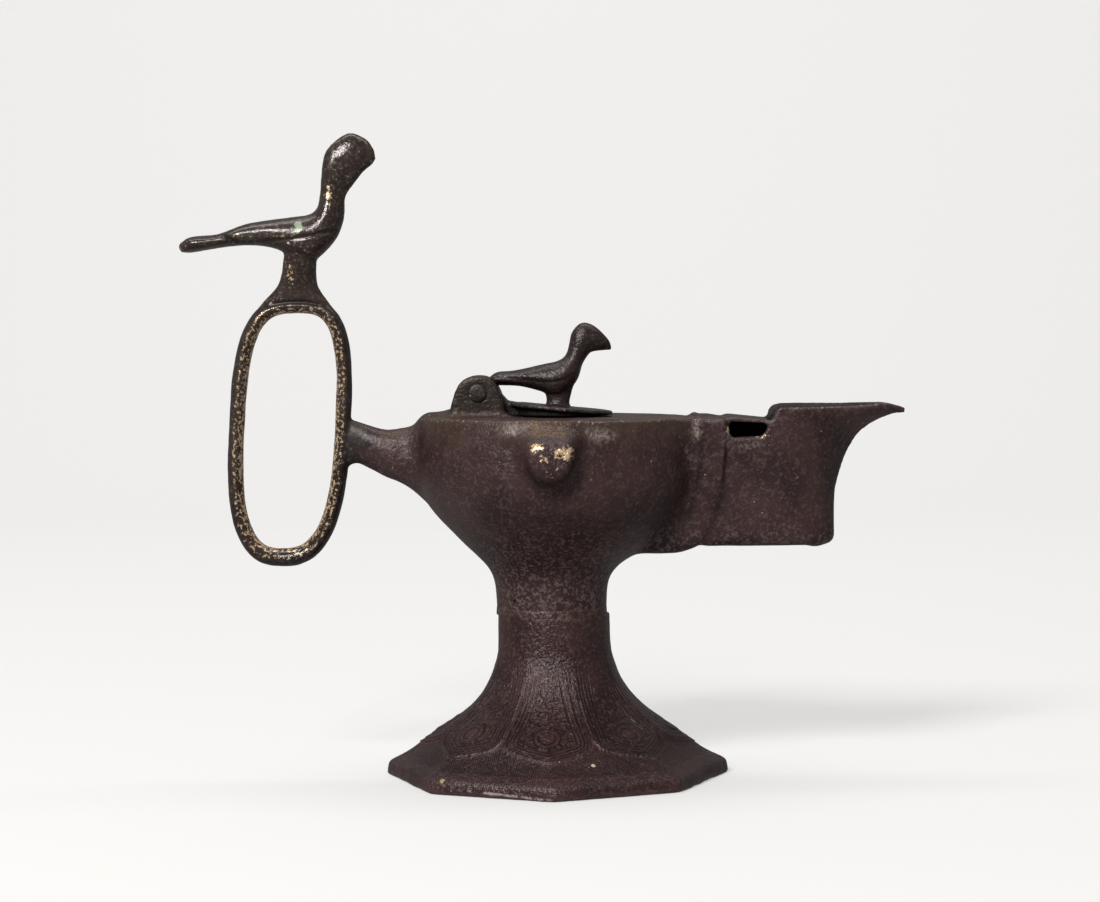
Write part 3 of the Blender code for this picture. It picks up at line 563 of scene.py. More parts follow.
def footBronze():
    made = bronzeRecipe("footBronze", (0.94, 0.84, 0.84), glint=0.42, goldShare=0.5, rough=0.31,
                        grainDepth=0.20)
    between, times, ahead, height = made.between, made.times, made.axis("X"), made.axis("Z")
    across, rise = made.field("petalAcross"), made.field("petalRise")
    wander = times(made.sum("SUBTRACT", made.fine, 0.5), 0.5)
    depth = made.sum("ADD", made.field("petalDepth"), wander)
    # a medallion and scrolls inside the petals
    lift = made.sum("SUBTRACT", rise, foot["medallion"] / mm)
    disc = made.sum("ADD", made.sum("SQRT", made.plus(times(lift, lift), across, across)), wander)
    inner = between(depth, 3.7, 4.2)
    flat = made.node("ShaderNodeCombineXYZ", 0, {0: across, 1: rise})
    curl = made.sum("SINE", times(made.cells(2.6, flat), 15.0))
    cut = made.most(*(made.line(depth, at, half) for at, half in foot["cuts"]),
                    *(times(made.line(disc, at, 0.26), inner) for at in foot["discCuts"]),
                    times(between(curl, 0.0, 0.8), inner, between(disc, 3.6, 4.0), 0.9))
    # hatching between the petals, inside a thin ridge
    gap = times(between(depth, -1.2, -1.5), between(height, 4.7 * mm, 5.1 * mm),
                between(height, 12.9 * mm, 12.2 * mm))
    side = made.plus(made.field("petalSide"), wander, 0.25)
    hatch = between(made.sum("SINE", times(side, 11.0)), -0.1, 0.6)
    cut = made.most(times(cut, made.field("petalFade")), times(hatch, gap, 0.85))
    cut = times(cut, made.plus(0.5, between(made.cloud(6 * mm), 0.30, 0.50), 0.5))
    made.paint((0.009, 0.005, 0.005), cut, 0.62)
    # a scuffed line low on the edge, then the solder at the neck's joint and two spots
    low = made.plus(made.plus(height, ahead, 0.05), wander, 0.4 * mm)
    made.paint((0.30, 0.26, 0.25), made.line(low, 0.5 * mm, 0.40 * mm), between(ahead, -23 * mm, -15 * mm),
               between(ahead, 3 * mm, -3 * mm), between(made.fine, 0.38, 0.60), 0.75)
    made.paint(patina["crust"], between(height, 37.4 * mm, 38.6 * mm), between(made.fine, 0.44, 0.62), 0.22)
    made.paint((0.45, 0.43, 0.34), made.nearPoint((10.4, -31.2, 6.8), 0.6))
    made.paint((0.24, 0.20, 0.11), made.nearPoint((-24.6, -29.2, 3.3), 0.7))
    made.normal = made.bump(times(cut, -1.0), 0.45 * mm, Normal=made.normal)
    return made.close()


finishPiece(makeFoot(), "lamp", "bronze_foot", footBronze(), "foot")


# bowl casting: bowl, spout, bosses and lugs
bowl = dict(
    neckZ=38.8 * mm, height=47.4 * mm, rimZ=86.2 * mm, x=3.0 * mm, neckX=1.2 * mm,
    radius=33.6 * mm, depth=31.8 * mm, wall=2.4 * mm, floor=3.4 * mm, neckRadius=13.2 * mm,
    topPlate=2.2 * mm, fall=0.008, backFall=0.009, chamfer=0.5 * mm,
    openingX=4.0 * mm, openingRadius=9.6 * mm, socketRadius=10.9 * mm, socketDepth=4.3 * mm,
    flank=((0.0, 0.0), (0.15, 0.02), (0.21, 0.07), (0.27, 0.19), (0.37, 0.47), (0.48, 0.735),
           (0.58, 0.915), (0.70, 1.0), (0.85, 0.99), (1.0, 0.93)),
    voxel=0.53 * mm, seamX=-39.5 * mm,
)


def rimHeight(x, y=0.0):
    return bowl["rimZ"] - bowl["fall"] * (x - bowl["x"]) - bowl["backFall"] * y


def bowlPlan(z, inset=0.0):
    # middle, half length and half depth over that half length, at each height
    share = (z - bowl["neckZ"]) / bowl["height"]
    spread = readCurve(bowl["flank"], share)
    return (mix(bowl["neckX"], bowl["x"], ease((share - 0.15) / 0.3)),
            mix(bowl["neckRadius"], bowl["radius"], spread) - inset,
            mix(1.0, bowl["depth"] / bowl["radius"], spread))


def bowlRing(z, inset, sides=144):
    middle, radius, across = bowlPlan(z, inset)
    a = around(sides)
    x, y = middle + radius * np.cos(a), radius * across * np.sin(a)
    share = (z - bowl["neckZ"]) / bowl["height"]
    return list(zip(x, y, z + (rimHeight(x, y) - bowl["rimZ"]) * ease((share - 0.3) / 0.7)))


def makeVessel():
    rings = [bowlRing(z, 0) for z in np.linspace(bowl["neckZ"], bowl["rimZ"] - bowl["chamfer"], 56)]
    return spanBody("bronzeBowl", rings + [bowlRing(bowl["rimZ"], bowl["chamfer"])])


def makeCavity():
    bottom = bowl["neckZ"] + bowl["socketDepth"] + bowl["floor"]
    rings = [bowlRing(z, bowl["wall"], 72)
             for z in np.linspace(bottom + 1.5 * mm, bowl["rimZ"] - bowl["topPlate"], 18)]
    return spanBody("cavity", [bowlRing(bottom, bowl["wall"] + 2 * mm, 72)] + rings)


def roundHole(name, x, radius, low, high):
    return spanBody(name, [[(x + radius * math.cos(a), radius * math.sin(a), z) for a in around(48)]
                           for z in (low, high)])


spout = dict(
    reach=86.85 * mm, heel=69.4 * mm, depth=31.3 * mm, rise=2.1 * mm, lift=0.5 * mm, halfTop=11.2 * mm,
    halfBottom=7.6 * mm, wall=2.0 * mm, floor=2.6 * mm, sag=1.1 * mm, rounding=2.2 * mm, tilt=0.018,
    start=21.0 * mm, taperStart=55.0 * mm, wallsStart=54.4 * mm, wallsRounding=2.6 * mm,
    bridgeStart=44.2 * mm, bridge=1.2 * mm, bridgeLift=0.25 * mm, bridgeDrop=0.8 * mm,
    windowStart=43.4 * mm, windowLength=9.8 * mm, windowHeight=3.9 * mm, collarX=39.2 * mm,
    collarSweep=9.0 * mm, collarWidth=7.0 * mm, collarHeight=1.5 * mm, collarDrop=0.3 * mm,
    passageStart=16.0 * mm, reachAcross=30 * mm,
    collarLevels=(-0.035, 0.0, 0.06, 0.15, 0.25, 0.37, 0.5, 0.63, 0.75, 0.88, 1.0),
    prow=((0.0, 0.0), (0.25, 0.0), (0.39, 0.014), (0.476, 0.056), (0.592, 0.127), (0.70, 0.224),
          (0.80, 0.363), (0.867, 0.543), (0.909, 0.75), (0.936, 0.887), (0.963, 0.985), (1.0, 1.0)),
)
spoutZ = bowl["rimZ"] - spout["depth"]
wallsZ = bowl["rimZ"] + spout["rise"]


def bridgeTop(x):
    t = (x - spout["bridgeStart"]) / (spout["wallsStart"] - spout["bridgeStart"])
    return rimHeight(x) + mix(spout["bridgeLift"], -spout["bridgeDrop"], t)


def spoutRing(z, start, grow, rounding=0.0):
    share = min(max(0.0, (z - spoutZ) / (wallsZ - spoutZ)), 1.0)
    half = mix(spout["halfBottom"], spout["halfTop"], share ** 0.8) + grow - rounding
    prow = mix(spout["heel"], spout["reach"], float(readCurve(spout["prow"], share)))
    prow += grow * mix(1.0, 1.8, share) - rounding
    blunt = mix(0.5, 0.95, ease(share * 1.2))
    side = [(mix(start, spout["taperStart"], t), half) for t in np.linspace(0, 1, 12)[:-1]]
    for k in range(17):
        t = math.sin(math.pi / 2 * k / 16)
        side.append((mix(spout["taperStart"], prow, t), half * max(0.0, 1 - t ** 2.2) ** blunt))
    both = [(x, -y) for x, y in side[:-1]] + [(side[-1][0], 0.0)] + side[-2::-1]
    ring = []
    for x, y in both:
        sag = spout["sag"] * (1 - share) * ease((spout["collarX"] - x) / (spout["collarX"] - spout["start"]))
        lift = spout["lift"] * share ** 2 * ease((x - spout["heel"]) / (spout["reach"] - spout["heel"]))
        ring.append((x, y, z - sag + lift + spout["tilt"] * share ** 3 * y))
    return ring


def makeTrough():
    start, rounding, turn = spout["start"], spout["rounding"], spout["wallsRounding"]
    rings = [spoutRing(spoutZ + rounding * (1 - math.cos(a)), start, 0, rounding * (1 - math.sin(a)))
             for a in np.linspace(0, math.pi / 2, 6)]
    rings += [spoutRing(z, start, 0) for z in np.linspace(spoutZ + rounding, wallsZ, 26)[1:]]
    trough = spanBody("trough", rings)
    begin, crest = spout["wallsStart"], spout["bridgeStart"]
    edge = mix(spout["collarX"] + spout["collarWidth"] / 2, crest, 0.1)
    above = [(0, rimHeight(0) - spout["collarDrop"]), (edge, rimHeight(edge) - spout["collarDrop"]),
             (crest, bridgeTop(crest)), (begin, bridgeTop(begin))]
    for k in range(9):
        a = math.pi / 2 * k / 8
        above.append((begin + turn * (1 - math.cos(a)), wallsZ - turn * 0.8 * (1 - math.sin(a))))
    above += [(begin + turn, wallsZ + 3 * mm), (0, wallsZ + 3 * mm)]
    joinTo(trough, slab("above", above, -25 * mm, 25 * mm), "DIFFERENCE")
    return trough


def makeCollar():
    top, far = rimHeight(spout["collarX"]), spout["reachAcross"]
    collar = spanBody("collar", [spoutRing(mix(spoutZ, top, t), bowl["x"], spout["collarHeight"],
                                           1.1 * mm if t < 0 else 0) for t in spout["collarLevels"]])
    left, right = [], []
    for t in np.linspace(0, 1, 17):
        z = mix(top - spout["collarDrop"], spoutZ - spout["collarHeight"], t)
        x = spout["collarX"] - spout["collarSweep"] * t ** 3
        half = spout["collarWidth"] / 2 * (1 + 0.4 * t ** 3)
        left.append((x - half, z))
        right.append((x + half, z))
    joinTo(collar, slab("band", left + right[::-1], -far, far), "INTERSECT")
    return collar


def makeChannel():
    floor, first, far = spoutZ + spout["floor"], spout["passageStart"], spout["reachAcross"]
    rings = [spoutRing(floor, first, -spout["wall"], 1.2 * mm)]
    rings += [spoutRing(mix(floor, wallsZ, t), first, -spout["wall"]) for t in np.linspace(0.05, 1.0, 16)]
    channel = spanBody("channel", rings + [[(x, y, z + 3 * mm) for x, y, z in rings[-1]]])
    start, end, high = -10 * mm, 0.993 * spout["wallsStart"], wallsZ + 9 * mm
    edge, crest = spout["collarX"] + spout["collarWidth"] / 2, spout["bridgeStart"]
    under = bowl["rimZ"] - bowl["topPlate"]
    roof = [(start, under), (edge, under), (crest, bridgeTop(crest) - spout["bridge"]),
            (end, bridgeTop(end) - 0.7 * spout["bridge"]), (end, high), (start, high)]
    joinTo(channel, slab("roof", roof, -far, far), "DIFFERENCE")
    return channel


def makeWindow():
    start, end = spout["windowStart"], spout["windowStart"] + spout["windowLength"]
    top = bridgeTop(spout["bridgeStart"]) - 0.9 * spout["bridge"]
    right, bottom = bridgeTop(end) - 0.6 * spout["bridge"], top - spout["windowHeight"]
    slant = 0.14 * spout["windowLength"]
    outline = [(start, top), (end, right), (end - slant, bottom + 0.1 * spout["windowHeight"]),
               (start + 0.5 * slant, bottom)]
    return slab("window", outline, -1.5 * spout["halfTop"], -spout["halfTop"] * 0.4)


# boss: share of its reach, then its width above and below, and its height
boss = dict(x=1.2 * mm, reach=6.8 * mm, width=10.2 * mm, height=9.6 * mm, drop=9.6 * mm,
            shape=((-0.55, 1.5, 0.875, 0.667), (0.0, 1.35, 0.8125, 0.625), (0.35, 1.12, 0.6875, 0.552),
                   (0.72, 1.02, 0.56, 0.521), (0.93, 0.88, 0.48, 0.45), (1.0, 0.66, 0.36, 0.34)))


def makeBoss(side):
    rings, a = [], around(36)
    up = signedPower(np.sin(a), 0.75)
    rim = rimHeight(boss["x"], side * bowl["depth"])
    for t in [*np.linspace(-0.55, 0.72, 11), 0.79, 0.86, 0.93, 0.97, 1.0]:
        widen, high, low = (readCurve([(s[0], s[c]) for s in boss["shape"]], t) for c in (1, 2, 3))
        top = min(rim - bowl["chamfer"], rim - boss["drop"] + boss["height"] * high)
        bottom = rim - boss["drop"] - boss["height"] * low
        x = boss["x"] + boss["width"] / 2 * widen * signedPower(np.cos(a), 0.75) * (1 + 0.3 * up)
        y = side * (bowl["depth"] + boss["reach"] * t)
        rings.append([(px, y, mix(bottom, top, (1 + u) / 2)) for px, u in zip(x, up)])
    return spanBody("boss", rings)


hinge = dict(
    x=-15.9 * mm, aboveRim=5.9 * mm, pinRadius=1.5 * mm, headRadius=2.1 * mm, head=0.6 * mm,
    clearance=0.1 * mm, sidePlay=0.3 * mm, lugRise=3.9 * mm, lugBase=7.4 * mm, lugThickness=3.0 * mm,
    knuckleWidth=9.6 * mm, knuckleRadius=3.5 * mm,
    lug=((0.0, 1.0), (0.08, 0.935), (0.19, 0.90), (0.36, 0.83), (0.61, 0.72), (0.80, 0.60),
         (0.92, 0.44), (0.98, 0.24)),
)
pinZ = rimHeight(hinge["x"]) + hinge["aboveRim"]


def makeLug(side):
    x, base, height = hinge["x"], rimHeight(hinge["x"]), hinge["aboveRim"] + hinge["lugRise"]
    half = [(hinge["lugBase"] * wide, base + height * high) for high, wide in hinge["lug"]]
    low = base - 0.5 * bowl["topPlate"]
    outline = [*((x + wide, z) for wide, z in half), (x, base + height),
               *((x - wide, z) for wide, z in half[::-1]),
               (x - hinge["lugBase"], low), (x + hinge["lugBase"], low)]
    inner = hinge["knuckleWidth"] / 2 + hinge["sidePlay"]
    return slab("lug", outline, side * inner, side * (inner + hinge["lugThickness"]))


def makePinHole(reach):
    radius = hinge["pinRadius"] + hinge["clearance"]
    return turnedAcross("pinHole", hinge["x"], pinZ, ((-reach, radius), (reach, radius)))


loop = dict(x=-61.3 * mm, z=83.2 * mm, halfHeight=30.2 * mm, halfWidth=12.75 * mm, lean=0.065,
            squareness=3.2, roundness=2.7, bar=3.8 * mm, barBelow=4.4 * mm, barDepth=6.2 * mm,
            steps=160, sides=20)


def loopMiddle(a):
    power = 2 / (loop["squareness"] if math.sin(a) > 0 else loop["roundness"])
    rise = loop["halfHeight"] * signedPower(math.sin(a), power)
    across = signedPower(math.cos(a), power)
    return Vector((loop["x"] + loop["halfWidth"] * across + loop["lean"] * rise, 0, loop["z"] + rise))


def loopStations():
    # places round the ring: middle of the bar, outward direction, half the bar
    stations = []
    for a in around(loop["steps"], 0.5):
        a += 0.28 * math.sin(2 * a)
        along = (loopMiddle(a + 0.02) - loopMiddle(a - 0.02)).normalized()
        half = mix(loop["bar"], loop["barBelow"], max(0.0, -math.sin(a)) ** 4) / 2
        stations.append((loopMiddle(a), Vector((along.z, 0, -along.x)), half))
    return stations


def makeLoop():
    return spanBody("loop", [[here + outward * float(half * signedPower(math.cos(b), 0.92))
                              + Vector((0, float(loop["barDepth"] / 2 * signedPower(math.sin(b), 1.3)), 0))
                              for b in around(loop["sides"])] for here, outward, half in loopStations()],
                    joined=True)


def makeFingerHole():
    outline = [here - outward * half * 0.6 for here, outward, half in loopStations()]
    return slab("fingerHole", [(p.x, p.z) for p in outline], -12 * mm, 12 * mm)


# sections of the arm and the birds, in shares of the length: upper point, lower point, half width
root = dict(
    x=-48.3 * mm, length=27.0 * mm,
    body=((0.00, -0.004, 0.00, 0.452, 0.085), (0.096, 0.015, 0.107, 0.396, 0.107),
          (0.230, 0.063, 0.230, 0.448, 0.140), (0.370, 0.100, 0.356, 0.519, 0.163),
          (0.530, 0.083, 0.511, 0.585, 0.178), (0.626, 0.052, 0.641, 0.678, 0.207),
          (0.678, -0.007, 0.719, 0.744, 0.240), (0.744, -0.048, 0.807, 0.600, 0.252),
          (0.870, -0.056, 0.900, 0.304, 0.256), (1.00, -0.090, 1.000, 0.081, 0.262)),
)
handleBird = dict(
    length=47.2 * mm, tailX=-86.85 * mm, crownZ=154.4 * mm,
    body=((0.00, 0.548, 0.005, 0.592, 0.054), (0.06, 0.512, 0.065, 0.594, 0.096),
          (0.20, 0.502, 0.200, 0.571, 0.098), (0.33, 0.455, 0.330, 0.560, 0.098),
          (0.46, 0.433, 0.460, 0.572, 0.106), (0.57, 0.419, 0.570, 0.615, 0.116),
          (0.66, 0.408, 0.680, 0.640, 0.120), (0.703, 0.37, 0.790, 0.540, 0.105),
          (0.716, 0.30, 0.836, 0.428, 0.080), (0.724, 0.21, 0.843, 0.318, 0.068),
          (0.752, 0.085, 0.884, 0.248, 0.070), (0.86, 0.00, 0.936, 0.192, 0.062),
          (0.95, 0.028, 0.977, 0.160, 0.044), (0.990, 0.082, 0.998, 0.130, 0.022)),
    stance=((0.545, 0.52, 0.690, 0.52, 0.070), (0.525, 0.62, 0.695, 0.62, 0.066),
            (0.515, 0.70, 0.690, 0.70, 0.064), (0.488, 0.77, 0.700, 0.77, 0.064),
            (0.43, 0.83, 0.740, 0.83, 0.058), (0.37, 0.905, 0.790, 0.905, 0.046)),
    wing=((-78.0, 129.9), (-76.0, 129.9), (-72.0, 129.15), (-68.0, 129.2), (-61.3, 129.3),
          (-56.5, 129.9), (-50.4, 131.2), (-48.0, 131.6)),
    voxel=0.34 * mm,
)
lidBird = dict(
    length=29.4 * mm, tailX=-13.2 * mm, rise=22.3 * mm,
    body=((0.00, 0.435, 0.005, 0.480, 0.085), (0.07, 0.390, 0.075, 0.500, 0.125),
          (0.22, 0.378, 0.240, 0.508, 0.130), (0.42, 0.335, 0.410, 0.550, 0.145),
          (0.56, 0.305, 0.560, 0.600, 0.155), (0.625, 0.26, 0.710, 0.480, 0.130),
          (0.655, 0.17, 0.765, 0.330, 0.105), (0.68, 0.07, 0.820, 0.248, 0.100),
          (0.76, -0.004, 0.860, 0.232, 0.088), (0.86, 0.022, 0.915, 0.226, 0.068),
          (0.945, 0.098, 0.957, 0.222, 0.042), (0.985, 0.150, 0.987, 0.222, 0.027),
          (1.00, 0.195, 1.000, 0.215, 0.012)),
)


def inPlace(rows, x, z, length):
    return [(x + x0 * length, z - z0 * length, x + x1 * length, z - z1 * length, width * length)
            for x0, z0, x1, z1, width in rows]


def makeRoot():
    return limbBody("root", inPlace(root["body"], root["x"], bowl["rimZ"], root["length"]), sides=32,
                    squareness=0.92)


def makeBird(bird, crownZ, stance):
    body = limbBody("bird", inPlace(bird["body"], bird["tailX"], crownZ, bird["length"]))
    joinTo(body, limbBody("leg", inPlace(stance, bird["tailX"], crownZ, bird["length"]), steps=2))
    return body


def makeBowl():
    casting = makeVessel()
    for part in [makeTrough(), makeCollar(), makeBoss(-1), makeBoss(1), makeLug(-1), makeLug(1), makeRoot()]:
        joinTo(casting, part)
    print("casting joined,", len(casting.data.polygons), "faces")
    for cut in [makeChannel(), makeWindow(), makePinHole(hinge["knuckleWidth"] / 2 + 8 * mm)]:
        joinTo(casting, cut, "DIFFERENCE")
    recast(casting, bowl["voxel"])
    print("casting recast,", faceCount(casting), "triangles")
    return casting


def hollowOut(piece):
    # the oil chamber, its mouth and the socket for the foot
    hollow = makeCavity()
    joinTo(hollow, roundHole("mouth", bowl["openingX"], bowl["openingRadius"], bowl["rimZ"] - 6.6 * mm,
                             bowl["rimZ"] + bowl["topPlate"]))
    joinTo(hollow, roundHole("socket", bowl["neckX"], bowl["socketRadius"], bowl["neckZ"] - 1 * mm,
                             bowl["neckZ"] + bowl["socketDepth"]))
    joinTo(piece, hollow, "DIFFERENCE")


def makeHandle():
    casting = makeRoot()
    casting.name = casting.data.name = "bronzeHandle"
    joinTo(casting, makeLoop())
    bird = makeBird(handleBird, handleBird["crownZ"], handleBird["stance"])
    joinTo(bird, makeFingerHole(), "DIFFERENCE")
    joinTo(casting, bird)
    recast(casting, handleBird["voxel"])
    print("handle recast,", faceCount(casting), "triangles")
    return casting


def inHollow(points):
    # 1 inside the bowl and the spout's passage, where nothing is seen closely
    x, y, z = points.T
    middle, radius, across = bowlPlan(z, 1.2 * mm)
    inside = (np.hypot(x - middle, y / across) < radius) & (z < rimHeight(x, y) - 1.3 * mm)
    return inside & (z > bowl["neckZ"] - 1 * mm)


def fillBehindCollar(points):
    # seen from above, the bowl's flank runs straight on to the collar's back edge
    x, y, level = points.T
    z = np.clip(level, spoutZ, bowl["rimZ"])
    middle, radius, share = bowlPlan(z)
    across = radius * share
    down = np.clip((rimHeight(spout["collarX"]) - level) / spout["depth"], 0, 1) ** 3
    edge = spout["collarX"] - spout["collarSweep"] * down - 0.5 * spout["collarWidth"] * (1 + 0.4 * down)
    grow = np.clip((z - spoutZ) / (wallsZ - spoutZ), 0, 1) ** 0.8
    half = mix(spout["halfBottom"], spout["halfTop"], grow)
    corner = half + 0.5 * spout["collarHeight"]
    ahead, aside = (edge - middle) / radius, corner / across
    outside = np.hypot(ahead, aside)
    turn = np.arctan2(aside, ahead) + np.arccos(1 / np.maximum(outside, 1.0001))
    fromX, fromY = middle + radius * np.cos(turn), across * np.sin(turn)
    t = (x - fromX) / (edge - fromX)
    skin = across * np.sqrt(np.clip(1 - ((x - middle) / radius) ** 2, 0, 1))
    near = ease((np.abs(y) - np.maximum(skin, half) + 1.5 * mm) / (1.2 * mm))
    near = near * ease((level - spoutZ) / (4 * mm)) * ((t > 0) & (t < 1) & (outside > 1))
    points[:, 1] += np.sign(y) * np.maximum(mix(fromY, corner, t) - np.abs(y), 0) * near


# places on the bowl casting, in mm: centre, reach and strength, and layers of unevenness
castSpots = dict(
    waves=((11, 2, 0.15), (3.4, 4, 0.05), (1.5, 6, 0.02)), lumps=((1.5, 21, 0.30), (0.8, 23, 0.10)),
    rough=((3.2, 41, 0.55), (1.4, 43, 0.16)), root=((-33.0, 0.0, 80.0), (12, 15, 10)),
    knob=((2.0, -38.0, 77.8), (8, 5, 7)), farEnd=((39.0, 9.0, 86.0), (4.5, 8.0, 3.0)),
    shoulders=(((-8.0, -28.6, 83.3), (5.5, 8, 3.6)), ((13.5, -28.0, 82.5), (6, 8, 3.8))),
    fillets=(((-30, 0, 76), (9, 16, 15), 1.4), ((1.2, -33, 77), (11, 8, 10), 1.2),
             ((1.2, 33, 78), (11, 9, 10), 1.4), ((31, -12, 66), (10, 14, 18), 1.2),
             ((31, 12, 66), (10, 14, 18), 1.2), ((30, 0, 55), (11, 14, 9), 1.4)),
    corners=((1.2, 31.5, 77, (12, 5, 11)), (1.0, 36.5, 71.5, (9, 6, 4.5)), (35.5, 13, 79, (5.5, 8, 9)),
             (36.5, 12, 66, (8, 8, 12)), (31.0, 10, 56, (8, 9, 6)), (-23.3, 6.6, 87.2, (4.5, 4, 3)),
             (-8.5, 6.6, 87.2, (4, 4, 3))),
    hollows=(((27, -8, 56), (9, 9, 8), 1.3), ((27, 8, 56), (9, 9, 8), 1.3),
             ((35, -12, 82), (3, 6, 5), 1.0), ((35, 12, 82), (3, 6, 5), 1.0)),
    lifts=(((64.5, 0, 55), (3.4, 9, 3), -0.55), ((22.5, 0, 56.5), (9, 18, 7), -0.8),
           ((35.0, 0, 54.0), (4.5, 22, 4), 0.8)),
    # painted highlights, where the shoulders, the collar's top and the window's edges catch the light
    polish=(((13.8, -29.5, 82.8), (4.2, 9, 2.4), 0.9), ((-8.0, -29.5, 84.3), (6.0, 9, 2.6), 0.45),
            ((35.6, -13, 82.8), (2.4, 9, 3.4), 0.9), ((33.8, -13, 77.5), (1.6, 9, 5), 0.5),
            ((43.2, -11.5, 81.0), (1.7, 5, 2.8), 0.8), ((48.6, -11.5, 79.3), (4.5, 4, 1.7), 0.6)),
    # wear on the boss, and highlights painted as bright wear below the window, on the collar's top and on the
    # shoulders
    wearAndHighlights=(((-1.9, -38.0, 80.6), (3.6, 9, 2.3), 0.9), ((-0.6, -38.0, 77.8), (3.0, 9, 2.8), 0.7),
          ((4.6, -38.0, 79.3), (6.0, 9, 4.2), 0.85), ((2.0, -38.5, 75.0), (4.5, 9, 3.5), 0.45),
          ((51.0, -11.0, 81.6), (5.0, 4, 1.4), 0.8), ((43.2, -11.0, 83.0), (1.8, 4, 2.6), 0.8),
          ((36.5, -13, 82.5), (2.2, 5, 2.6), 0.55), ((-9.0, -28, 83.8), (3.5, 8, 1.5), 0.5),
          ((14.0, -27, 82.8), (3.5, 8, 1.5), 0.45), ((-24.0, -14, 79), (4, 8, 6), 0.35)),
)


def shapeCasting(piece):
    x, y, z = readPoints(piece).T / mm
    tip = ease((x - 74) / 6) * ease((z - 80) / 3)
    wall = ease((84 - z) / 3) * ease((33 - x) / 4)
    easeShape(piece, 0.5 - 0.3 * tip + 0.4 * wall, 4)
    easeShape(piece, wall, 10)
    points = readPoints(piece)
    fillBehindCollar(points)
    writePoints(piece, points)
    softenNear(piece, castSpots["fillets"], 26)
    softenNear(piece, [((x, side * y, z), reach, 1.4) for side in (-1, 1)
                       for x, y, z, reach in castSpots["corners"]], 45)
    points, normals = readSkin(piece)
    wave = grain(points, *castSpots["waves"])
    push(points, normals, wave * (1 - 0.6 * ease((points[:, 0] - 42 * mm) / (4 * mm))))
    place = points / mm
    # the lumpy end of the near boss, the far end of the collar
    lumps = grain(points, *castSpots["lumps"])
    push(points, normals, nearTo(place, *castSpots["knob"]) * lumps)
    points[:, 2] += nearTo(place, *castSpots["farEnd"]) * 0.6 * mm
    # rough root of the handle, soft shoulders beside the near boss, a ridge down the collar's back edge
    push(points, normals, nearTo(place, *castSpots["root"]) * grain(points, *castSpots["rough"]))
    for shoulder in castSpots["shoulders"]:
        push(points, normals, nearTo(place, *shoulder))
    down = np.clip((rimHeight(spout["collarX"]) - points[:, 2]) / spout["depth"], 0, 1)
    back = spout["collarX"] - spout["collarSweep"] * down ** 3 - 0.42 * spout["collarWidth"]
    ridge = hump(points[:, 0], back, 1.0 * mm) * (1 - 0.5 * down)
    push(points, normals, ridge * (np.abs(place[:, 1]) > 9) * 0.65)
    # the tip falls a little, the heel has a low lump
    fall = ease((place[:, 0] - 80.5) / 8.0) * (0.35 + 0.65 * ease((place[:, 2] - 86) / 1.5))
    points[:, 2] -= fall * 1.5 * mm
    for centre, reach, lift in castSpots["lifts"]:
        points[:, 2] += nearTo(place, centre, reach) * lift * mm
    writePoints(piece, points)
    softenNear(piece, castSpots["hollows"], 14)


def alongLoop(points):
    # how far outwards from the middle of the ring's bar each point lies, in mm, and the outward direction
    middles, outwards = (np.array([tuple(row[k]) for row in loopStations()]) for k in (0, 1))
    nearest = np.empty(len(points), int)
    for start in range(0, len(points), 8000):
        part = points[start:start + 8000, None, :] - middles[None]
        nearest[start:start + 8000] = np.argmin(part[..., 0] ** 2 + part[..., 2] ** 2, axis=1)
    return ((points - middles[nearest]) * outwards[nearest]).sum(1) / mm, outwards[nearest]


# the same for the handle, with its spots of paint
handleSpots = dict(
    waves=((7, 31, 0.12), (2.4, 33, 0.05), (1.0, 35, 0.022)), throat=((-44.5, 0, 142), (4.5, 6, 5.5)),
    fillets=(((-58.5, 0, 114.5), (12, 9, 7), 1.2), ((-47.5, 0, 80), (3.5, 9, 9), 0.7),
             ((-55, 0, 130), (13, 9, 9), 1.3)),
    # wear on the tail's tip and along the wing, and highlights painted as bright wear on the leg and the neck
    wearAndHighlights=(((-84.6, 0, 127.6), (3.2, 6, 3), 0.9), ((-62.0, -4, 130.2), (7, 6, 1.6), 0.65),
          ((-60.6, -5, 121), (2.4, 7, 7), 0.85), ((-50.8, -4, 139.5), (1.8, 6, 7), 0.80)),
    paint=(((-58.1, -5.2, 132.8), 1.1, "verdigris"), ((-57.7, -5.4, 131.9), 1.0, "verdigris"),
           ((-58.2, -5.6, 131.0), 0.8, "verdigris"), ((-60.5, -5.0, 128.3), 0.35, "pale")),
)


def shapeHandle(piece):
    easeShape(piece, 0.45, 3)
    softenNear(piece, handleSpots["fillets"], 40)
    points, normals = readSkin(piece)
    x, _, z = points.T / mm
    # wings: a raised edge with a groove under it, ending in a step over the tail
    high = z - readCurve(handleBird["wing"], x)
    along = ease((x + 77) / 2.6) * (1 - ease((x + 51.5) / 3.5)) * (z > 124)
    wing = 0.55 * ease(high / 0.8) - 0.42 * hump(high, -0.25, 0.42)
    eye = np.hypot(x + 42.9, z - 149.4)
    face = ripple(eye, ((0, 0.75, 0.28), (1.35, 0.4, -0.10))) * (z > 145)
    throat = nearTo(points / mm, *handleSpots["throat"]) * np.maximum(normals[:, 0], 0) * 0.5
    # an arched groove over the ring's inner rib, under the bird's foot
    crown = ease((z - 108.5) / 2.5) * (1 - ease((np.abs(x + 58.2) - 6.0) / 3.5))
    groove = -0.75 * hump(alongLoop(points)[0], 0.95, 0.50) * crown
    wave = grain(points, *handleSpots["waves"])
    push(points, normals, (wing * along + face + groove) * np.abs(normals[:, 1]) + throat + wave)
    writePoints(piece, points)


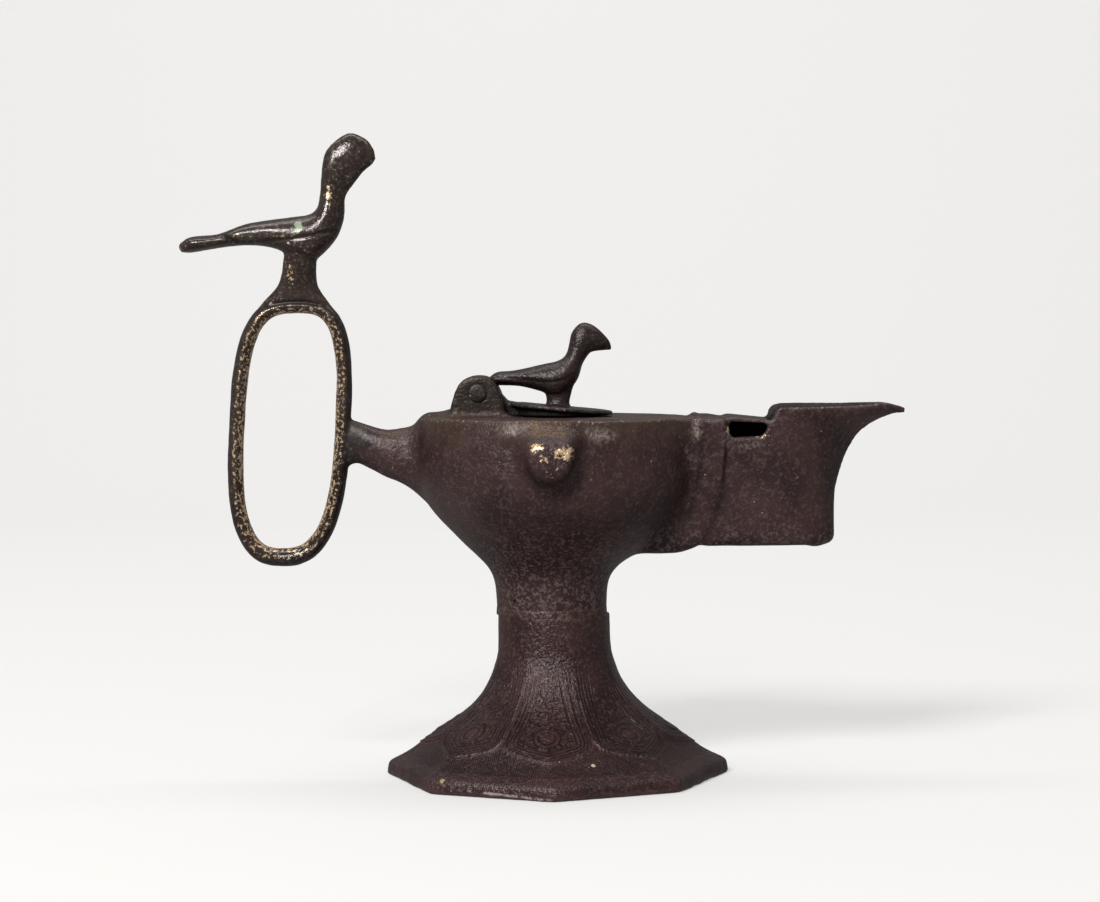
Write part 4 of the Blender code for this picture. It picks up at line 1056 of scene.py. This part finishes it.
def cutAt(piece, x, keepRight):
    # trims the piece with an upright plane and closes it there
    bm = bmesh.new()
    bm.from_mesh(piece.data)
    bmesh.ops.bisect_plane(bm, geom=[*bm.verts, *bm.edges, *bm.faces], dist=1e-7, plane_co=(x, 0, 0),
                           plane_no=(1, 0, 0), clear_inner=keepRight, clear_outer=not keepRight)
    for face in bmesh.ops.holes_fill(bm, edges=[e for e in bm.edges if e.is_boundary], sides=0)["faces"]:
        face.smooth = False
    bmesh.ops.recalc_face_normals(bm, faces=bm.faces)
    bm.to_mesh(piece.data)
    bm.free()


def meetAtSeam(handle, casting, x):
    # brings the handle's skin onto the bowl casting's near the seam, so that they run on smoothly
    tree = BVHTree.FromPolygons([v.co for v in casting.data.vertices],
                                [tuple(p.vertices) for p in casting.data.polygons])
    points = readPoints(handle)
    for i in np.nonzero(points[:, 0] > x - 3 * mm)[0]:
        hit = tree.find_nearest(Vector(points[i]), 2 * mm)[0]
        if hit:
            share = float(ease((points[i, 0] - (x - 3 * mm)) / (2.6 * mm)))
            points[i] = mix(points[i], np.array(hit), share)
    writePoints(handle, points)


casting = makeBowl()
shapeCasting(casting)
handle = makeHandle()
shapeHandle(handle)
meetAtSeam(handle, casting, bowl["seamX"])
cutAt(handle, bowl["seamX"], False)
cutAt(casting, bowl["seamX"], True)
hollowOut(casting)
print("castings shaped,", faceCount(casting), "and", faceCount(handle), "triangles")


def markWearAndLightOnBowl(piece):
    points, normals = readSkin(piece)
    x, y, z = points.T / mm
    # the worn upper edge of the spout's near wall
    wallTop = wallsZ + spout["tilt"] * points[:, 1]
    wallTop += spout["lift"] * ease((points[:, 0] - spout["heel"]) / (17.4 * mm))
    lip = hump(z, wallTop / mm, 0.35) * ((x > 55) & (y < 0))
    rim = hump(z - rimHeight(points[:, 0], points[:, 1]) / mm, -0.4, 0.5) * (x < 36)
    rubbed = spotted(points / mm, castSpots["wearAndHighlights"])
    # painted shade inside the chamber, on the spout's inner walls and round the mouth under the lid
    inward = (normals[:, 1] * np.sign(y) < -0.2) | ((normals[:, 2] > 0.4) & (z < 80))
    trough = (x > 41) & inward & (np.abs(y) < 10.6) & (z > 56) & (z < 88.5)
    mouth = (np.hypot(x - 4.0, y) < 12.2) & (z > 84.5)
    giveValues(piece, standOut=standOut(piece, 14), polished=spotted(points / mm, castSpots["polish"]),
               rubbed=np.maximum.reduce((rubbed, 0.50 * lip, 0.45 * rim)),
               soot=np.maximum.reduce((1.0 * inHollow(points), 0.8 * trough, 0.92 * mouth)))


def markWearAndLightOnHandle(piece):
    points, normals = readSkin(piece)
    x, y, z = points.T / mm
    ridge = standOut(piece, 20)
    outward, direction = alongLoop(points)
    onRing = (np.abs(outward) < 3.2) & (z < 113)
    inner = np.clip(-(normals * direction).sum(1), 0, 1)
    ring = 0.20 + 0.52 * inner + 0.42 * hump(outward, 0.15, 0.42) + 0.4 * np.clip(ridge - 0.12, 0, 0.5)
    bird = 0.24 + 0.95 * np.clip(ridge - 0.08, 0, 0.45)
    rubbed = np.maximum(np.where(onRing, ring, bird), spotted(points / mm, handleSpots["wearAndHighlights"]))
    rubbed = rubbed - 0.25 * (1 - ease((z - 47) / 8))
    root = (x > -49) & (z < 100) & ~onRing
    rubbed = np.where(root, 0.12 + 0.5 * np.clip(ridge - 0.15, 0, 0.4), rubbed)
    # painted shade: the small casting hole is a dark spot, and the near ring's outer side, the root and the
    # arched groove under the bird's foot are darkened
    dimple = (np.hypot(x + 42.3, z - 80.2) < 0.75) & (y < -2)
    shade = 0.35 * ease((outward - 0.4) / 0.9) * (onRing & (y < 0)) + 0.6 * root * (1 - ease((x + 47) / 5))
    crown = (z > 109) & (z < 118) & (np.abs(x + 57.5) < 9)
    shade = np.maximum(shade, 0.7 * hump(outward, 0.95, 0.5) * crown)
    giveValues(piece, standOut=ridge, rubbed=rubbed, soot=np.where(dimple, 0.9, shade))


markWearAndLightOnBowl(casting)
markWearAndLightOnHandle(handle)


def bowlBronze():
    made = bronzeRecipe("bowlBronze", 1.0, glint=0.35, rough=0.38, grainDepth=0.13, shine=0.26)
    between, height, ahead = made.between, made.axis("Z"), made.axis("X")
    # a painted sheen on the upper flank towards the handle, lit from the left; pale grain low on the bowl,
    # partly painted glints of light from the floor
    made.paint(patina["grey"], between(ahead, -8 * mm, -28 * mm), between(height, 80 * mm, 62 * mm), 0.35)
    made.paint(patina["grey"], between(height, 64 * mm, 52 * mm), between(made.grainy, 0.50, 0.58), 0.65)
    # brown band under the rim, ochre above the boss, solder and dirt round the neck's joint
    made.paint((0.066, 0.043, 0.026), between(height, 78 * mm, 84 * mm), between(ahead, 40 * mm, 30 * mm),
               between(made.cloud(7 * mm, 3, 0.6), 0.38, 0.60), 0.40)
    made.paint((0.105, 0.058, 0.022), made.nearPoint((1.0, -31.0, 84.8), 5.5),
               between(made.grainy, 0.44, 0.56), 0.6)
    made.paint(patina["crust"], between(height, 46 * mm, 41 * mm),
               between(made.plus(made.cloud(2.6 * mm, 3), made.dust, 0.6), 0.84, 1.0), 0.35)
    # painted highlights: lighter, glossier speckle on the spots that the casting marks
    paintedHighlight = made.times(made.field("polished"), between(made.grainy, 0.36, 0.64))
    made.paint((0.21, 0.17, 0.165), paintedHighlight)
    # dark lugs, and a casting hole low on the neck, painted as a dark spot of shade
    made.paint((0.012, 0.010, 0.008), between(height, 86.5 * mm, 89.0 * mm), between(ahead, 0.0, -4 * mm), 0.75)
    made.paint(patina["soot"], made.nearPoint((-7.72, -10.0, 42.8), 0.55, 0.1))
    made.roughness = made.plus(made.roughness, paintedHighlight, -0.12)
    return made.close()


def handleBronze():
    tint = (0.85, 1.12, 0.97)
    made = bronzeRecipe("handleBronze", tint, rough=0.18, grainDepth=0.06, metal=0.12)
    between, ahead = made.between, made.axis("X")
    for place, reach, paint in handleSpots["paint"]:
        made.paint(patina[paint], made.nearPoint(place, reach), 0.8)
    # near the seam the handle takes on the bowl's tone
    low = between(made.axis("Z"), 100 * mm, 95 * mm)
    made.paint(tuple(1 / share for share in tint), between(ahead, -47 * mm, -40.5 * mm), low, kind="MULTIPLY")
    made.roughness = made.plus(made.roughness, made.times(between(ahead, -50 * mm, -46.5 * mm), low), 0.20)
    return made.close()


def sharpenSeam(piece, x):
    # the cap at the seam doesn't bend the shading of the skin around it
    onSeam = np.abs(readPoints(piece)[:, 0] - x) < 1e-6
    for edge in piece.data.edges:
        if onSeam[edge.vertices[0]] and onSeam[edge.vertices[1]]:
            edge.use_edge_sharp = True


for piece, material in ((casting, bowlBronze()), (handle, handleBronze())):
    finishPiece(piece, "lamp", "bronze_bowl", material, "lamp_bowl")
    sharpenSeam(piece, bowl["seamX"])


# lid
lid = dict(x=3.6 * mm, radius=12.7 * mm, thickness=0.95 * mm, rounding=0.3 * mm, lift=2.3 * mm,
           skew=0.05 * mm, seat=0.3 * mm, voxel=0.28 * mm, drumRadius=11.4 * mm,
           wing=((-14.0, 96.6), (-9.0, 95.9), (-4.0, 95.2), (1.0, 94.6), (5.0, 95.3), (7.0, 96.4)),
           legs=((0.400, 0.50, 0.694, 0.50, 0.105), (0.442, 0.544, 0.677, 0.544, 0.090),
                 (0.462, 0.595, 0.665, 0.595, 0.083)),
           fillets=(((4, 0, 89.5), (6, 6, 3), 1.2), ((3, 0, 94.5), (6, 5, 4), 1.2)),
           waves=((5, 12, 0.07), (1.8, 14, 0.035)))


def lidHeight(x, y):
    t = (lid["x"] + lid["radius"] - x) / (2 * lid["radius"])
    return rimHeight(x, y) + lid["seat"] + lid["lift"] * t + lid["skew"] * (1 - y / lid["radius"])


def castLid():
    # plate, knuckle, drum, tongue and bird, cast in one
    x, half, thick, plate = hinge["x"], hinge["knuckleWidth"] / 2, hinge["knuckleRadius"], lid["thickness"]
    rings, a = [], around(96)
    for z, radius in ((0, lid["radius"]), (plate - lid["rounding"], lid["radius"]),
                      (plate, lid["radius"] - lid["rounding"])):
        px, py = lid["x"] + radius * np.cos(a), radius * np.sin(a)
        rings.append(list(zip(px, py, lidHeight(px, py) + z)))
    piece = spanBody("bronzeLid", rings)
    joinTo(piece, turnedAcross("knuckle", x, pinZ, ((-half, thick), (half, thick))))
    a = around(64, 0.5)
    px, py = bowl["openingX"] + lid["drumRadius"] * np.cos(a), lid["drumRadius"] * np.sin(a)
    joinTo(piece, spanBody("drum", [list(zip(px, py, rimHeight(px, py) + lid["seat"])),
                                    list(zip(px, py, lidHeight(px, py) + plate / 2))]))
    start, edge = lid["x"] - 0.68 * lid["radius"], lid["x"] - lid["radius"]
    tongue = [(start, lidHeight(start, 0) + 0.2 * plate), (start, lidHeight(start, 0) + 0.8 * plate),
              (edge + 0.1 * thick, lidHeight(edge, 0) + 1.1 * plate),
              (x + 1.7 * thick, pinZ - 0.26 * thick), (x + 1.3 * thick, pinZ + 0.35 * thick),
              (x + 0.3 * thick, pinZ + 0.9 * thick), (x, pinZ - 0.9 * thick),
              (x + 1.1 * thick, rimHeight(edge) + 1.5 * lid["seat"]), (start, rimHeight(start) + lid["seat"])]
    joinTo(piece, slab("tongue", tongue, -half, half))
    base = (lidBird["rise"] - (lidHeight(lid["x"], 0) - rimHeight(lid["x"])) - 0.5 * plate)
    base /= lidBird["length"]
    stance = (*lid["legs"], (0.466, base - 0.05, 0.655, base - 0.05, 0.085), (0.458, base, 0.662, base, 0.098))
    joinTo(piece, makeBird(lidBird, rimHeight(lid["x"]) + lidBird["rise"], stance))
    joinTo(piece, makePinHole(half + thick), "DIFFERENCE")
    recast(piece, lid["voxel"])
    return piece


def makeLid():
    piece = castLid()
    easeShape(piece, 0.45, 3)
    softenNear(piece, lid["fillets"], 24)
    points, normals = readSkin(piece)
    x, _, z = points.T / mm
    onBird = ease((z - 92.5) / 1.5)
    high = z - readCurve(lid["wing"], x)
    wing = 0.26 * ease(high / 0.7) - 0.16 * hump(high, -0.2, 0.35)
    wing *= ease((x + 14) / 3) * (1 - ease((x - 4.5) / 2.5)) * onBird
    mouth = -0.16 * hump(z, 102.6, 0.24) * ease((x - 12.0) / 1.2) * onBird
    wave = grain(points, *lid["waves"])
    calm = 1 - nearTo(points, (hinge["x"], 0, pinZ), (6 * mm, 8 * mm, 6 * mm))
    push(points, normals, wave * calm + (wing + mouth) * np.abs(normals[:, 1]))
    writePoints(piece, points)
    # painted shadow under the lid's plate, on the drum and on the tongue below it
    under = (points[:, 2] < lidHeight(points[:, 0], points[:, 1]) + 0.15 * mm) & (x > -11.5)
    giveValues(piece, standOut=standOut(piece, 20), rubbed=0.10, soot=np.where(under, 0.92, 0.0))
    return piece


def lidBronze():
    made = bronzeRecipe("lidBronze", (0.62, 0.72, 0.70), goldShare=0.4, rough=0.32)
    made.paint(patina["verdigris"], made.nearPoint((0.8, -4.4, 93.5), 0.45), 0.8)
    return made.close()


finishPiece(makeLid(), "lid", "bronze_lid", lidBronze(), "lid")


# hinge pin with hammered heads
def makePin():
    seat = hinge["knuckleWidth"] / 2 + 2 * hinge["sidePlay"] + hinge["lugThickness"]
    profile = [(0.0, -seat - hinge["head"])]
    for t in np.linspace(0.25, 1, 5) * math.pi / 2:
        profile.append((hinge["headRadius"] * math.sin(t),
                        -seat - hinge["head"] * (0.35 + 0.65 * math.cos(t))))
    profile += [(hinge["headRadius"], -seat), (hinge["pinRadius"], -seat)]
    profile += [(r, -y) for r, y in profile[::-1]]
    bm = bmesh.new()
    spinRow(bm, [bm.verts.new((r, y, 0)) for r, y in profile], 1, (0, 1, 0), 64)
    bmesh.ops.remove_doubles(bm, verts=bm.verts, dist=0.001 * mm)
    bmesh.ops.recalc_face_normals(bm, faces=bm.faces)
    bmesh.ops.translate(bm, verts=bm.verts, vec=(hinge["x"], 0, pinZ))
    piece = makeObject(bm, "bronzePin")
    giveValues(piece, standOut=0, rubbed=0.12, soot=0)
    return piece


pinBronze = bronzeRecipe("pinBronze", (0.7, 0.85, 0.8), glint=0.5, goldShare=0.4, rough=0.42)
finishPiece(makePin(), "lamp", "bronze_pin", pinBronze.close(), "hinge_pin")


# pale sweep and soft studio light
studio = dict(floorHalf=3.0, front=-2.4, wallY=1.6, wallTop=3.0, curve=0.8, below=0.05 * mm,
              paper=(0.30, 0.298, 0.295, 1), glow=(1.0, 0.99, 0.975, 1), glowStrength=0.44, rough=0.9,
              shine=0.15, room=(1.0, 0.99, 0.98, 1), roomStrength=0.20)


def makeSweep():
    bend, curve = studio["wallY"] - studio["curve"], studio["curve"]
    profile = [(studio["front"], 0.0), (bend, 0.0)]
    for k in range(1, 17):
        a = math.pi / 2 * k / 16
        profile.append((bend + curve * math.sin(a), curve * (1 - math.cos(a))))
    profile.append((studio["wallY"], studio["wallTop"]))
    bm = bmesh.new()
    row = [bm.verts.new((-studio["floorHalf"], y, z)) for y, z in profile]
    edges = [bm.edges.new((row[i - 1], row[i])) for i in range(1, len(row))]
    grown = bmesh.ops.extrude_edge_only(bm, edges=edges)["geom"]
    bmesh.ops.translate(bm, verts=onlyVerts(grown), vec=(2 * studio["floorHalf"], 0, 0))
    bmesh.ops.recalc_face_normals(bm, faces=bm.faces)
    if sum(f.normal.z for f in bm.faces) < 0:
        bmesh.ops.reverse_faces(bm, faces=bm.faces)
    bmesh.ops.translate(bm, verts=bm.verts, vec=(0, 0, -studio["below"]))
    sweep = makeObject(bm, "paperSweep")
    sweep.data.shade_smooth()
    paper = Recipe("palePaper")
    for name, key in (("Base Color", "paper"), ("Emission Color", "glow"), ("Roughness", "rough"),
                      ("Emission Strength", "glowStrength"), ("Specular IOR Level", "shine")):
        paper.shader.inputs[name].default_value = studio[key]
    sweep.data.materials.append(paper.material)
    sweep.visible_glossy = False


def softbox(name, place, aim, width, height, power, tint=(1, 1, 1)):
    data = bpy.data.lights.new(name, "AREA")
    data.shape = "RECTANGLE"
    data.size, data.size_y = width, height
    data.energy, data.color = power, tint
    lamp = addObject(name, data)
    lamp.location = place
    lamp.rotation_euler = (Vector(aim) - Vector(place)).to_track_quat("-Z", "Y").to_euler()


makeSweep()
softbox("overhead", (0.0, 0.2, 1.5), (0, 0.1, 0), 1.6, 1.2, 3)
softbox("backdropLight", (0.0, 0.35, 1.5), (0, 1.6, 0.35), 2.0, 0.5, 24)
softbox("front", (-0.42, -0.92, 0.80), (0, 0, 0.08), 0.36, 0.30, 22, (1, 0.985, 0.96))
world = bpy.data.worlds.new("paleRoom")
world.use_nodes = True
room = world.node_tree.nodes["Background"].inputs
room["Color"].default_value, room["Strength"].default_value = studio["room"], studio["roomStrength"]
bpy.context.scene.world = world
bpy.context.scene.view_settings.view_transform = "Standard"
print("studio ready")
